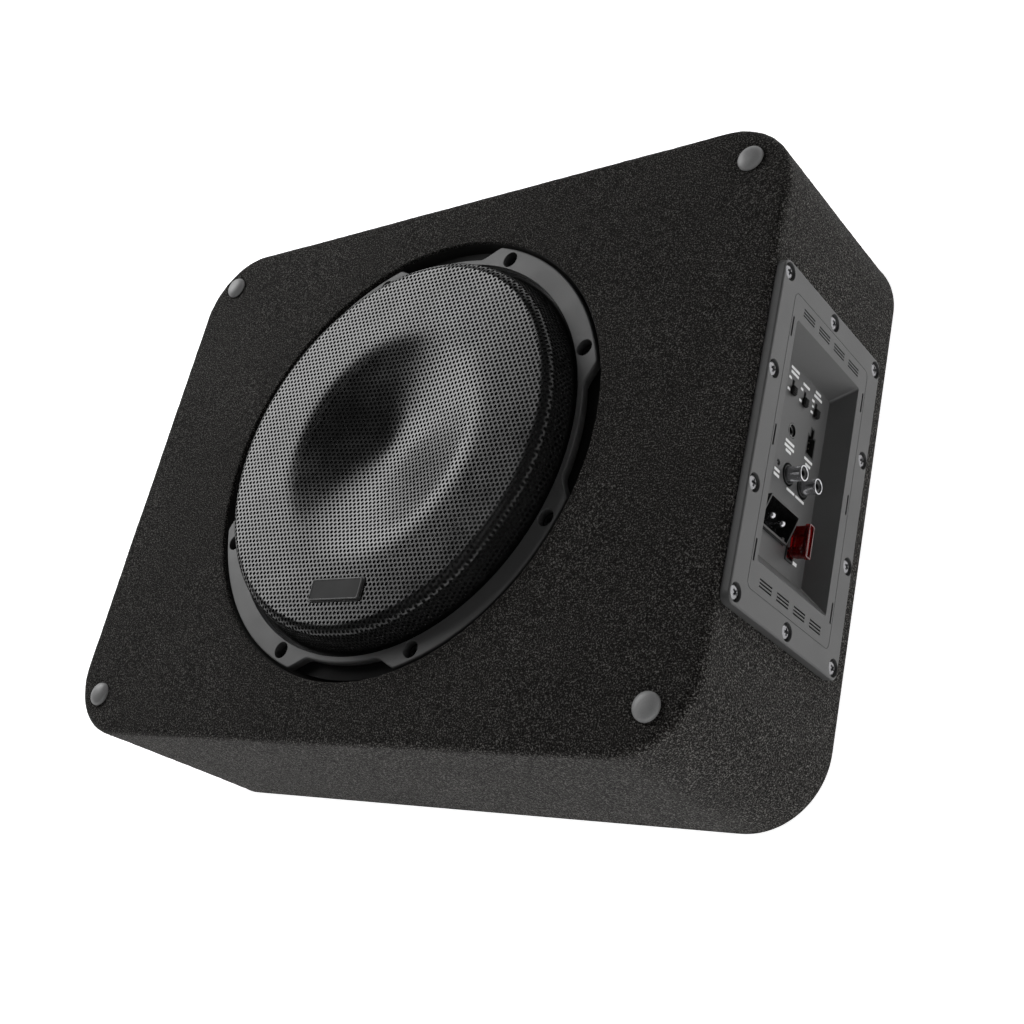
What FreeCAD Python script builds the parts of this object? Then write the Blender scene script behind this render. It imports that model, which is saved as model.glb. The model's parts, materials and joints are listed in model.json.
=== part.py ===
"""Powered car subwoofer: a carpeted flat box, a shallow 10 inch driver and a built-in amplifier.

Frame, in millimetres: the box lies on its back and the driver fires up, along +Z.
+X points to the end that carries the amplifier panel, +Y to the box's upper long side.
The origin is the centre of the back face, on the surface that the box lies on.
"""
import FreeCAD
import Part
import math
import os

V = FreeCAD.Vector
X_AXIS = V(1, 0, 0)
Y_AXIS = V(0, 1, 0)
Z_AXIS = V(0, 0, 1)

# ---- Driving dimensions: the box ----
BOX_W = 452.0            # over the carpet, along X
BOX_H = 342.0            # over the carpet, along Y
BOX_D = 130.0            # over the carpet, along Z, without the grille
CORNER_R = 44.0          # the box's four plan corners
EDGE_R = 5.0             # the soft front edge
CARPET_T = 2.5
FRONT_T = 18.0
BACK_T = 12.0
WALL_T = 12.0
RECESS_R = 137.0         # rebate in the baffle that holds the driver and its ring
RECESS_FLOOR_Z = 117.5
DRIVER_HOLE_R = 117.0
CAP_INSET_X = 24.8       # screw cap centres, from the box's sides
CAP_INSET_Y = 24.0
CAP_R = 7.25
CAP_H = 3.5

# ---- Driving dimensions: the driver and its cover ----
FLANGE_TOP_Z = 122.5     # top of the driver's chassis flange
FLANGE_T = 4.0
FLANGE_R = 134.0
SCREW_CIRCLE_R = 128.3
SCREW_COUNT = 8
SCREW_START = 22.5       # degrees
RING_OUT_R = 135.0
RING_IN_R = 122.6
RING_BAND_R = 126.0      # outer radius of the thin band in the ring's four notches
RING_TOP_Z = 128.5
NOTCH_OUT = 16.7         # half angle of a notch at its mouth, degrees
NOTCH_IN = 12.8          # half angle of a notch at the band
ACCESS_HOLE_R = 4.8
GRILLE_T = 0.9
GRILLE_TOP_Z = 144.2
GRILLE_FACE_R = 110.3
GRILLE_SHOULDER = 6.0
GRILLE_FOOT_R = 119.6
GRILLE_LIP_R = 123.8
DISH_R = 68.0
DISH_DEPTH = 12.2
BADGE_W = 37.5
BADGE_H = 12.0
BADGE_Y = -90.6
COIL_R = 25.4
CONE_EDGE_R = 94.0
ROLL_R = 8.5
MAGNET_R = 64.0

# ---- Driving dimensions: the amplifier panel, on the +X end ----
PANEL_T = 5.0
PANEL_Y = -6.3
PANEL_Z = 72.2
PANEL_HALF_Y = 90.0
PANEL_HALF_Z = 54.5
PANEL_SCREW_Y = 84.05
PANEL_SCREW_INNER_Y = 29.95
PANEL_SCREW_Z = 49.3
POCKET_DEPTH = 13.0
POCKET_Z = 73.1
MOUTH_Y = -5.4
MOUTH_HALF_Y = 63.9
MOUTH_HALF_Z = 35.3
FLOOR_Y = -3.7
FLOOR_HALF_Y = 53.1
FLOOR_HALF_Z = 30.3
SKIN_T = 2.5
COUNTERBORE_R = 4.7
COUNTERBORE_DEPTH = 3.0
PANEL_HOLE_R = 2.1
PANEL_HEAD_R = 4.0
VENT_ROWS = (70.1, 71.8, 73.5)       # distances of the vent rows from the panel's middle, along Y
VENT_PITCH = 16.8                    # between the four vents of a row, along Z
VENT_HALF_LENGTH = 5.9
VENT_HALF_WIDTH = 0.45
SLIT_STEP = 59.0                     # between the three slits of a long side, along Y
SLIT_OFF = 39.5                      # from the panel's middle to a slit, along Z
SLIT_HALF_LENGTH = 5.5
SLIT_HALF_WIDTH = 0.65
SLOT_DEPTH = 3.0
GROOVE_HALF_Y = 78.0
GROOVE_HALF_Z = 41.6
GROOVE_R = 4.0
GROOVE_WIDTH = 0.35
GROOVE_DEPTH = 0.25
SWITCH_Z = {"phase_switch": 81.0, "crossover_switch": 68.3, "gain_switch": 55.6}
SWITCH_Y = 35.3          # knob centre at its lower stop
SWITCH_TRAVEL = 4.5
RCA_Y = -7.0
RCA_Z = (71.8, 56.4)
RCA_R = 4.15
RCA_LENGTH = 9.0
RCA_ROOT_R = 3.9         # the barrel's hidden root, inside its base
RCA_BASE_R = 6.0
RCA_BORE_R = 3.35
RCA_CONTACT_R = 1.6
JACK_Y = 15.9
JACK_Z = 74.8
JACK_R = 4.0
JACK_BORE_R = 1.8
LED_Y = -5.6
LED_Z = 82.9
LED_R = 1.6
INPUT_Y = 17.0
INPUT_Z = 55.0
SOCKET_Y = -35.8
SOCKET_Z = 80.8
SOCKET_HALF_Y = 7.4
SOCKET_HALF_Z = 14.6
SOCKET_HIGH = 7.2        # how far the shroud stands off the floor along its upper edge
SOCKET_LOW = 2.0         # and along its lower edge
PIN_PITCH = 10.2
PIN_R = 1.9
PIN_LENGTH = 3.0         # off the floor, up to where the tip starts to round
FUSE_Y = -38.4
FUSE_Z = 59.4
FUSE_W = 17.6
FUSE_T = 5.0
FUSE_BLADE_Y = 5.6       # each blade's middle, from the fuse's middle
HOLDER_HALF_Y = 10.2
HOLDER_HALF_Z = 3.9

# ---- Sizes that follow from them ----
HALF_W = BOX_W / 2
HALF_H = BOX_H / 2
WOOD_HALF_W = HALF_W - CARPET_T
WOOD_HALF_H = HALF_H - CARPET_T
WOOD_R = CORNER_R - CARPET_T
WOOD_BACK_Z = CARPET_T
BACK_INNER_Z = CARPET_T + BACK_T
WOOD_FRONT_Z = BOX_D - CARPET_T
FRONT_INNER_Z = WOOD_FRONT_Z - FRONT_T
POST_X = HALF_W - CORNER_R
POST_Y = HALF_H - CORNER_R
CAP_X = HALF_W - CAP_INSET_X
CAP_Y = HALF_H - CAP_INSET_Y
FACE_X = HALF_W + PANEL_T
FLOOR_X = FACE_X - POCKET_DEPTH
SKIN_BACK_X = FLOOR_X - SKIN_T
CUTOUT_HALF_Y = 62.0
CUTOUT_LOW_Z = 37.0
BOARD_X = 208.0          # inner face of the circuit board
BOARD_T = 1.6
COVER_BACK_X = 166.0
COVER_HALF_Y = 53.6
COVER_HALF_Z = 31.0
COVER_T = 1.2
COVER_SCREW_IN = 6.0     # the cover's screws, in from its corners
COVER_SCREW_R = 1.3
WIRE_R = 1.1
WIRE_Y = (-5.0, 5.0)
WIRE_EXIT_Z = 78.0       # where the wires pass through the amplifier's cover

PARTS = {}


def save(node, solids):
    """Keep a node's solids; a list of separate solids becomes one group."""
    if isinstance(solids, list):
        solids = Part.makeCompound(solids)
    PARTS[node] = solids


# ---- Shape helpers ----

def box(x0, x1, y0, y1, z0, z1):
    return Part.makeBox(x1 - x0, y1 - y0, z1 - z0, V(x0, y0, z0))


def post(radius, z0, z1, x=0.0, y=0.0):
    """A round bar along Z."""
    return Part.makeCylinder(radius, z1 - z0, V(x, y, z0), Z_AXIS)


def bar(radius, x0, x1, y, z):
    """A round bar along X."""
    return Part.makeCylinder(radius, x1 - x0, V(x0, y, z), X_AXIS)


def tube(outer, inner, z0, z1):
    return post(outer, z0, z1).cut(post(inner, z0, z1))


def tube_x(outer, inner, x0, x1, y, z):
    return bar(outer, x0, x1, y, z).cut(bar(inner, x0, x1, y, z))


def fuse_all(shapes):
    result = shapes[0]
    for shape in shapes[1:]:
        result = result.fuse(shape)
    return result.removeSplitter()


def cut_all(shape, tools):
    return shape.cut(Part.makeCompound(tools))


def rounded_outline(half_u, half_v, radius, place):
    """A closed rounded rectangle; place turns its own (u, v) into a point."""
    edges = []
    corner = radius * math.sqrt(0.5)
    centres = [(half_u - radius, half_v - radius, 1, 1), (-half_u + radius, half_v - radius, -1, 1),
               (-half_u + radius, -half_v + radius, -1, -1), (half_u - radius, -half_v + radius, 1, -1)]
    ends = []
    for cu, cv, su, sv in centres:
        on_u = (cu + su * radius, cv)
        on_v = (cu, cv + sv * radius)
        middle = (cu + su * corner, cv + sv * corner)
        start, end = (on_u, on_v) if su * sv > 0 else (on_v, on_u)
        ends.append((start, middle, end))
    for index, (start, middle, end) in enumerate(ends):
        edges.append(Part.Arc(place(*start), place(*middle), place(*end)).toShape())
        following = ends[(index + 1) % 4][0]
        edges.append(Part.LineSegment(place(*end), place(*following)).toShape())
    return Part.Wire(edges)


def slab(half_x, half_y, radius, z0, z1):
    """A plate with rounded plan corners, centred on the Z axis."""
    outline = rounded_outline(half_x, half_y, radius, lambda u, v: V(u, v, z0))
    return Part.Face(outline).extrude(V(0, 0, z1 - z0))


def pad(y, z, half_y, half_z, radius, x0, x1):
    """A plate with rounded corners that faces X."""
    outline = rounded_outline(half_y, half_z, radius, lambda u, v: V(x0, y + u, z + v))
    return Part.Face(outline).extrude(V(x1 - x0, 0, 0))


def turned(points):
    """A solid of revolution about Z, from a closed outline of (radius, z) points."""
    corners = [V(r, 0, z) for r, z in points]
    outline = Part.makePolygon(corners + corners[:1])
    return Part.Face(outline).revolve(V(0, 0, 0), Z_AXIS, 360)


def around(count, start, radius):
    """Evenly spaced places on a circle about Z."""
    places = []
    for index in range(count):
        angle = math.radians(start + 360.0 / count * index)
        places.append((radius * math.cos(angle), radius * math.sin(angle)))
    return places


def corners(dx, dy):
    return [(sx * dx, sy * dy) for sx in (-1, 1) for sy in (-1, 1)]


# ---- The box ----

def panel_screw_places():
    """(y, z) of the ten screws round the amplifier panel."""
    places = []
    for dz in (-PANEL_SCREW_Z, PANEL_SCREW_Z):
        for dy in (-PANEL_SCREW_Y, -PANEL_SCREW_INNER_Y, PANEL_SCREW_INNER_Y, PANEL_SCREW_Y):
            places.append((PANEL_Y + dy, PANEL_Z + dz))
    for dy in (-PANEL_SCREW_Y, PANEL_SCREW_Y):
        places.append((PANEL_Y + dy, PANEL_Z))
    return places


PANEL_SHANK_R = 1.9
PANEL_SHANK_END_X = HALF_W - 22.0


def panel_pilots():
    return [bar(PANEL_SHANK_R, PANEL_SHANK_END_X, FACE_X, y, z) for y, z in panel_screw_places()]


def driver_places():
    return around(SCREW_COUNT, SCREW_START, SCREW_CIRCLE_R)


DRIVER_SHANK_R = 2.3
DRIVER_SHANK_END_Z = FRONT_INNER_Z + 1.0
BAFFLE_HEAD_R = 4.6
BAFFLE_HEAD_H = 3.0
BAFFLE_SHANK_R = 2.4
BAFFLE_SHANK_END_Z = 78.0


def front_baffle():
    board = slab(WOOD_HALF_W, WOOD_HALF_H, WOOD_R, FRONT_INNER_Z, WOOD_FRONT_Z)
    tools = [post(RECESS_R, RECESS_FLOOR_Z, WOOD_FRONT_Z + 1), post(DRIVER_HOLE_R, FRONT_INNER_Z - 1, BOX_D)]
    for x, y in driver_places():
        tools.append(post(DRIVER_SHANK_R, DRIVER_SHANK_END_Z, RECESS_FLOOR_Z + 1, x, y))
    for x, y in corners(CAP_X, CAP_Y):
        tools.append(post(BAFFLE_HEAD_R, WOOD_FRONT_Z - BAFFLE_HEAD_H, WOOD_FRONT_Z + 1, x, y))
        tools.append(post(BAFFLE_SHANK_R, FRONT_INNER_Z - 1, WOOD_FRONT_Z, x, y))
    save("front_baffle", cut_all(board, tools + panel_pilots()))


def back_panel():
    save("back_panel", slab(WOOD_HALF_W, WOOD_HALF_H, WOOD_R, WOOD_BACK_Z, BACK_INNER_Z))


def side_boards():
    """Four boards and four quarter-round corner posts between the two big panels."""
    z0, z1 = BACK_INNER_Z, FRONT_INNER_Z
    save("upper_side", box(-POST_X, POST_X, WOOD_HALF_H - WALL_T, WOOD_HALF_H, z0, z1))
    save("lower_side", box(-POST_X, POST_X, -WOOD_HALF_H, WALL_T - WOOD_HALF_H, z0, z1))
    save("plain_end", box(-WOOD_HALF_W, WALL_T - WOOD_HALF_W, -POST_Y, POST_Y, z0, z1))
    end = box(WOOD_HALF_W - WALL_T, WOOD_HALF_W, -POST_Y, POST_Y, z0, z1)
    window = box(WOOD_HALF_W - WALL_T - 1, HALF_W, PANEL_Y - CUTOUT_HALF_Y, PANEL_Y + CUTOUT_HALF_Y,
                 CUTOUT_LOW_Z, z1 + 1)
    save("amplifier_end", cut_all(end, [window] + panel_pilots()))


def corner_posts():
    posts = []
    for sx, sy in corners(1, 1):
        quarter = post(WOOD_R, BACK_INNER_Z, FRONT_INNER_Z, sx * POST_X, sy * POST_Y)
        reach_x = sorted((sx * POST_X, sx * HALF_W))
        reach_y = sorted((sy * POST_Y, sy * HALF_H))
        quarter = quarter.common(box(*reach_x, *reach_y, BACK_INNER_Z, FRONT_INNER_Z))
        pilot = post(BAFFLE_SHANK_R, BAFFLE_SHANK_END_Z, FRONT_INNER_Z + 1, sx * CAP_X, sy * CAP_Y)
        posts.append(quarter.cut(pilot))
    save("corner_posts", posts)


PATCH_HALF_Y = 79.0      # the carpet is cut back to this under the amplifier panel
PATCH_HALF_Z = 44.0


def carpet():
    outer = slab(HALF_W, HALF_H, CORNER_R, CARPET_T, BOX_D)
    rim = [edge for edge in outer.Edges if all(abs(v.Z - BOX_D) < 0.01 for v in edge.Vertexes)]
    outer = outer.makeFillet(EDGE_R, rim)
    inner = slab(WOOD_HALF_W, WOOD_HALF_H, WOOD_R, 0, WOOD_FRONT_Z)
    tools = [inner, post(RECESS_R, WOOD_FRONT_Z - 1, BOX_D + 1)]
    tools.append(pad(PANEL_Y, PANEL_Z, PATCH_HALF_Y, PATCH_HALF_Z, 3, WOOD_HALF_W - 1, HALF_W + 1))
    for x, y in corners(CAP_X, CAP_Y):
        tools.append(post(BAFFLE_HEAD_R, WOOD_FRONT_Z - 1, BOX_D + 1, x, y))
    save("carpet_cover", cut_all(outer, tools + panel_pilots()))
    save("carpet_back", slab(HALF_W, HALF_H, CORNER_R, 0, CARPET_T))


def screw_caps():
    """Domed caps over the four screws that hold the baffle to the corner posts."""
    caps = []
    screws = []
    sphere_r = (CAP_R ** 2 + CAP_H ** 2) / (2 * CAP_H)
    for x, y in corners(CAP_X, CAP_Y):
        ball = Part.makeSphere(sphere_r, V(x, y, BOX_D + CAP_H - sphere_r))
        dome = ball.common(post(CAP_R + 1, BOX_D, BOX_D + CAP_H + 1, x, y))
        caps.append(fuse_all([dome, post(BAFFLE_HEAD_R - 0.4, WOOD_FRONT_Z, BOX_D, x, y)]))
        head = post(BAFFLE_HEAD_R, WOOD_FRONT_Z - BAFFLE_HEAD_H, WOOD_FRONT_Z, x, y)
        shank = post(BAFFLE_SHANK_R, BAFFLE_SHANK_END_Z, WOOD_FRONT_Z - BAFFLE_HEAD_H, x, y)
        screws.append(fuse_all([head, shank]))
    save("screw_caps", caps)
    save("baffle_screws", screws)


# ---- The driver ----

def notch(angle):
    """What a notch takes out of the trim ring: its ends slope from the mouth to the band."""
    def at(radius, offset):
        turn = math.radians(angle + offset)
        return V(radius * math.cos(turn), radius * math.sin(turn), FLANGE_TOP_Z - 1)
    far_r = RING_OUT_R + 6
    slope = (NOTCH_OUT - NOTCH_IN) / (RING_OUT_R - RING_BAND_R)
    far = NOTCH_OUT + slope * (far_r - RING_OUT_R)
    band = Part.Arc(at(RING_BAND_R, -NOTCH_IN), at(RING_BAND_R, 0), at(RING_BAND_R, NOTCH_IN)).toShape()
    mouth = Part.Arc(at(far_r, far), at(far_r, 0), at(far_r, -far)).toShape()
    side_a = Part.LineSegment(at(RING_BAND_R, NOTCH_IN), at(far_r, far)).toShape()
    side_b = Part.LineSegment(at(far_r, -far), at(RING_BAND_R, -NOTCH_IN)).toShape()
    outline = Part.Wire([band, side_a, mouth, side_b])
    return Part.Face(outline).extrude(V(0, 0, RING_TOP_Z - FLANGE_TOP_Z + 2))


def trim_ring():
    edge = 0.8
    ring = turned([(RING_IN_R, FLANGE_TOP_Z), (RING_OUT_R, FLANGE_TOP_Z), (RING_OUT_R, RING_TOP_Z - edge),
                   (RING_OUT_R - edge, RING_TOP_Z), (RING_IN_R + edge / 2, RING_TOP_Z),
                   (RING_IN_R, RING_TOP_Z - edge / 2)])
    tools = [notch(angle) for angle in (0, 90, 180, 270)]
    tools.append(post(GRILLE_LIP_R + 0.2, FLANGE_TOP_Z - 1, FLANGE_TOP_Z + GRILLE_T + 0.1))
    for x, y in driver_places():
        tools.append(post(ACCESS_HOLE_R, FLANGE_TOP_Z - 1, RING_TOP_Z + 1, x, y))
    save("trim_ring", cut_all(ring, tools))


def grille():
    """Domed steel cover with a shallow conical dish in its face."""
    def skin(drop):
        """The cover's profile from its centre out, the drop below its outer surface."""
        top = GRILLE_TOP_Z - drop
        wall = GRILLE_FOOT_R - drop
        bend = GRILLE_SHOULDER - drop
        centre = (GRILLE_FACE_R, GRILLE_TOP_Z - GRILLE_SHOULDER)
        profile = [(0.0, top - DISH_DEPTH), (6.0, top - DISH_DEPTH + 0.3), (12.0, top - DISH_DEPTH + 1.2),
                   (DISH_R - 4, top - 0.6), (DISH_R, top)]
        for step in range(5):
            turn = math.radians(90 - 20 * step)
            profile.append((centre[0] + bend * math.cos(turn), centre[1] + bend * math.sin(turn)))
        profile.append((wall, FLANGE_TOP_Z + GRILLE_T + 1.5))
        return profile
    outside = skin(0.0)
    inside = skin(GRILLE_T)
    lip = [(GRILLE_FOOT_R + 1.2, FLANGE_TOP_Z + GRILLE_T), (GRILLE_LIP_R, FLANGE_TOP_Z + GRILLE_T),
           (GRILLE_LIP_R, FLANGE_TOP_Z), (GRILLE_FOOT_R - GRILLE_T, FLANGE_TOP_Z)]
    save("grille", turned(outside + lip + inside[::-1]))


BADGE_BASE_T = 0.7
BADGE_T = 1.1
BADGE_BORDER = 0.9


def badge():
    def plate(border, radius, z0, z1):
        shape = slab(BADGE_W / 2 + border, BADGE_H / 2 + border, radius, z0, z1)
        shape.translate(V(0, BADGE_Y, 0))
        return shape
    seat = GRILLE_TOP_Z + BADGE_BASE_T
    save("badge_base", plate(BADGE_BORDER, 1.6, GRILLE_TOP_Z, seat))
    save("badge_plate", plate(0, 1.2, seat, seat + BADGE_T))


def chassis():
    """Pressed-steel chassis with six windows, its gasket, and the screws that hold it."""
    top = FLANGE_TOP_Z
    under = top - FLANGE_T
    shell = turned([(FLANGE_R, top), (111, top), (108, 105), (69, 91), (61, 91), (61, 88), (66, 88),
                    (64, 78), (34, 78), (34, 74), (67, 74), (70, 88), (111, 102), (114.5, under),
                    (FLANGE_R, under)])
    tools = []
    for index in range(6):
        window = Part.makeCylinder(103, 40, V(0, 0, 80), Z_AXIS, 42)
        window = window.cut(post(76, 79, 121))
        window.rotate(V(0, 0, 0), Z_AXIS, 60 * index + 9)
        tools.append(window)
    gasket = tube(FLANGE_R, DRIVER_HOLE_R + 1.5, RECESS_FLOOR_Z, under)
    holes = []
    screws = []
    for x, y in driver_places():
        holes.append(post(DRIVER_SHANK_R + 0.1, RECESS_FLOOR_Z - 1, top + 1, x, y))
        head = post(4.1, top, top + 2.0, x, y)
        crown = Part.makeCone(4.1, 2.6, 0.8, V(x, y, top + 2.0), Z_AXIS)
        shank = post(DRIVER_SHANK_R, DRIVER_SHANK_END_Z, top, x, y)
        screws.append(fuse_all([head, crown, shank]).cut(cross_recess_z(x, y, top + 2.8)))
    save("driver_chassis", cut_all(shell, tools + holes))
    save("driver_gasket", cut_all(gasket, holes))
    save("driver_screws", screws)


def cross_recess_z(x, y, top):
    long, wide, deep = 2.1, 0.55, 1.6
    first = box(x - long, x + long, y - wide, y + wide, top - deep, top + 1)
    return first.fuse(box(x - wide, x + wide, y - long, y + long, top - deep, top + 1))


CONE_T = 1.2
NECK_Z = 101.0
CONE_LIP_Z = FLANGE_TOP_Z
CONE_SLOPE_R = 86.0
CAP_EDGE_R = 40.0


def cone_z(radius):
    """Height of the cone's upper face."""
    share = (radius - COIL_R) / (CONE_SLOPE_R - COIL_R)
    return NECK_Z + CONE_T + (CONE_LIP_Z - NECK_Z - CONE_T) * share


def moving_assembly():
    """Cone, dust cap, voice coil, and the surround and spider that hold them."""
    neck = COIL_R + 0.4
    save("cone", turned([(neck, cone_z(neck)), (CONE_SLOPE_R, CONE_LIP_Z), (CONE_EDGE_R, CONE_LIP_Z),
                         (CONE_EDGE_R, CONE_LIP_Z - CONE_T), (CONE_SLOPE_R, CONE_LIP_Z - CONE_T),
                         (neck + CONE_T, NECK_Z), (neck + CONE_T, NECK_Z - 3), (neck, NECK_Z - 3)]))
    cap_rise = 7.0
    base_z = cone_z(CAP_EDGE_R)
    ball_r = (CAP_EDGE_R ** 2 + cap_rise ** 2) / (2 * cap_rise)
    centre = V(0, 0, base_z + cap_rise - ball_r)
    dome = Part.makeSphere(ball_r, centre).cut(Part.makeSphere(ball_r - 1.0, centre))
    save("dust_cap", dome.common(post(CAP_EDGE_R + 1, base_z, base_z + 20)))
    save("coil_former", tube(COIL_R + 0.4, COIL_R, 58, NECK_Z))
    save("coil_winding", tube(COIL_R + 1.5, COIL_R + 0.4, 60, 80))
    middle = (CONE_EDGE_R + 111.0) / 2
    roll = Part.makeTorus(middle, ROLL_R).cut(Part.makeTorus(middle, ROLL_R - CONE_T))
    roll.translate(V(0, 0, FLANGE_TOP_Z))
    roll = roll.common(tube(middle + 12, middle - 12, FLANGE_TOP_Z, FLANGE_TOP_Z + 12))
    outer_land = tube(118, middle + ROLL_R - CONE_T, FLANGE_TOP_Z, FLANGE_TOP_Z + CONE_T)
    inner_land = tube(middle - ROLL_R + CONE_T, 87, FLANGE_TOP_Z, FLANGE_TOP_Z + CONE_T)
    save("surround", fuse_all([roll, outer_land, inner_land]))
    save("spider", spider())


def spider():
    """A cloth disc with ring corrugations, from the coil former to the chassis ledge."""
    low, high, thick = 91.0, 94.0, 0.8
    upper = [(68.0, low + thick), (60.0, low + thick)]
    radius = 56.0
    crest = True
    while radius > 32.0:
        upper.append((radius, (high if crest else low) + thick))
        radius -= 5.0
        crest = not crest
    upper.append((30.0, low + thick))
    upper.append((COIL_R + 0.4, low + thick))
    lower = [(r, z - thick) for r, z in reversed(upper)]
    return turned(upper + lower)


def motor():
    """Top plate, ring magnet, and the yoke with its pole and rear vent."""
    save("top_plate", tube(60, COIL_R + 2.4, 66, 74))
    save("magnet", tube(MAGNET_R, 34, 46, 66))
    pole = fuse_all([post(60, 36, 46), post(COIL_R - 0.8, 46, 74)])
    save("yoke", pole.cut(post(8, 35, 75)))
    save("magnet_boot", tube(MAGNET_R + 2, MAGNET_R, 42, 64))


def terminals():
    """Terminal strip on the chassis and the pair of wires that feed it."""
    ledge_x = 116.0
    strip = box(103, ledge_x, -9, 9, 87, 90)
    hanger = box(106.5, 111, -4, 4, 90, 103)
    chassis_shape = PARTS["driver_chassis"]
    save("terminal_strip", fuse_all([strip, hanger]).cut(chassis_shape))
    wires = []
    for y in WIRE_Y:
        route = [(ledge_x, y, 88.5), (130, y, 88.5), (148, y, WIRE_EXIT_Z), (COVER_BACK_X, y, WIRE_EXIT_Z)]
        wires.append(wire(WIRE_R, route, 7.0))
    save("speaker_wires", wires)


def wire(radius, points, bend):
    """A round wire along straight runs joined by arcs of one radius of bend."""
    route = [V(*point) for point in points]
    edges = []
    start = route[0]
    for before, corner, after in zip(route, route[1:], route[2:]):
        into = (corner - before).normalize()
        out = (after - corner).normalize()
        half_turn = into.getAngle(out) / 2
        setback = bend * math.tan(half_turn)
        first = corner - into * setback
        last = corner + out * setback
        towards = (out - into).normalize()
        centre = corner + towards * (bend / math.cos(half_turn))
        middle = centre - towards * bend
        edges.append(Part.LineSegment(start, first).toShape())
        edges.append(Part.Arc(first, middle, last).toShape())
        start = last
    edges.append(Part.LineSegment(start, route[-1]).toShape())
    path = Part.Wire(edges)
    section = Part.Wire(Part.makeCircle(radius, route[0], route[1] - route[0]))
    return path.makePipeShell([section], True, True)


# ---- The amplifier panel ----

def pocket_solid(grow, x_floor, x_mouth):
    """The pocket's flared space, grown sideways, between two depths."""
    def outline(x):
        share = (x - FLOOR_X) / POCKET_DEPTH
        half_y = FLOOR_HALF_Y + (MOUTH_HALF_Y - FLOOR_HALF_Y) * share + grow
        half_z = FLOOR_HALF_Z + (MOUTH_HALF_Z - FLOOR_HALF_Z) * share + grow
        y = FLOOR_Y + (MOUTH_Y - FLOOR_Y) * share
        return rounded_outline(half_y, half_z, 1.5 + grow, lambda u, v: V(x, y + u, POCKET_Z + v))
    return Part.makeLoft([outline(x_floor), outline(x_mouth)], True, True)


def vent_slots():
    """Cooling slots: three rows of four at each end of the panel, and three slits along each long side."""
    x0, x1 = FACE_X - SLOT_DEPTH, FACE_X + 1
    slots = []
    for end in (-1, 1):
        for row in VENT_ROWS:
            for group in (-1.5, -0.5, 0.5, 1.5):
                y = PANEL_Y + end * row
                z = PANEL_Z + VENT_PITCH * group
                slots.append(box(x0, x1, y - VENT_HALF_WIDTH, y + VENT_HALF_WIDTH,
                                 z - VENT_HALF_LENGTH, z + VENT_HALF_LENGTH))
    for side in (-1, 1):
        for step in (-SLIT_STEP, 0.0, SLIT_STEP):
            y = PANEL_Y + step
            z = PANEL_Z + side * SLIT_OFF
            slots.append(box(x0, x1, y - SLIT_HALF_LENGTH, y + SLIT_HALF_LENGTH,
                             z - SLIT_HALF_WIDTH, z + SLIT_HALF_WIDTH))
    return slots


def panel_groove():
    """Fine rounded-rectangle groove between the vents and the screws."""
    outer = pad(PANEL_Y, PANEL_Z, GROOVE_HALF_Y, GROOVE_HALF_Z, GROOVE_R, FACE_X - GROOVE_DEPTH, FACE_X + 1)
    return outer.cut(pad(PANEL_Y, PANEL_Z, GROOVE_HALF_Y - GROOVE_WIDTH, GROOVE_HALF_Z - GROOVE_WIDTH,
                         GROOVE_R - GROOVE_WIDTH, FACE_X - 1, FACE_X + 2))


def amp_panel():
    flange = pad(PANEL_Y, PANEL_Z, PANEL_HALF_Y, PANEL_HALF_Z, 5.0, HALF_W, FACE_X)
    rim = [edge for edge in flange.Edges if all(abs(v.X - FACE_X) < 0.01 for v in edge.Vertexes)]
    flange = flange.makeFillet(1.0, rim)
    body = fuse_all([flange, pocket_solid(2.0, SKIN_BACK_X, HALF_W + 1)])
    bosses = []
    for dy, dz in corners(COVER_HALF_Y - COVER_SCREW_IN, COVER_HALF_Z - COVER_SCREW_IN):
        bosses.append(bar(3.5, BOARD_X + BOARD_T, SKIN_BACK_X, FLOOR_Y + dy, POCKET_Z + dz))
    body = fuse_all([body] + bosses)
    tools = [pocket_solid(0.0, FLOOR_X, FACE_X)] + vent_slots() + [panel_groove()]
    for y, z in panel_screw_places():
        tools.append(bar(PANEL_HOLE_R, HALF_W - 1, FACE_X + 1, y, z))
        tools.append(bar(COUNTERBORE_R, FACE_X - COUNTERBORE_DEPTH, FACE_X + 1, y, z))
    tools += floor_holes()
    tools += cover_screw_bars(COVER_SCREW_R, BOARD_X, SKIN_BACK_X)
    save("amp_panel", cut_all(body, tools))


def floor_holes():
    """Holes through the pocket's floor for the switches and the connectors."""
    x0, x1 = SKIN_BACK_X - 1, FLOOR_X + 0.5
    holes = []
    for z in SWITCH_Z.values():
        low = SWITCH_Y - 1.7
        holes.append(box(x0, x1, low, low + SWITCH_TRAVEL + 3.4, z - 1.1, z + 1.1))
    for z in RCA_Z:
        holes.append(bar(RCA_BASE_R, x0, x1, RCA_Y, z))
    holes.append(bar(JACK_R, x0, x1, JACK_Y, JACK_Z))
    holes.append(bar(LED_R, x0, x1, LED_Y, LED_Z))
    holes += input_outline(0.0, x0, x1)
    holes.append(box(x0, x1, SOCKET_Y - SOCKET_HALF_Y, SOCKET_Y + SOCKET_HALF_Y,
                     SOCKET_Z - SOCKET_HALF_Z, SOCKET_Z + SOCKET_HALF_Z))
    holes.append(box(x0, x1, FUSE_Y - HOLDER_HALF_Y, FUSE_Y + HOLDER_HALF_Y,
                     FUSE_Z - HOLDER_HALF_Z, FUSE_Z + HOLDER_HALF_Z))
    return holes


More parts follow.
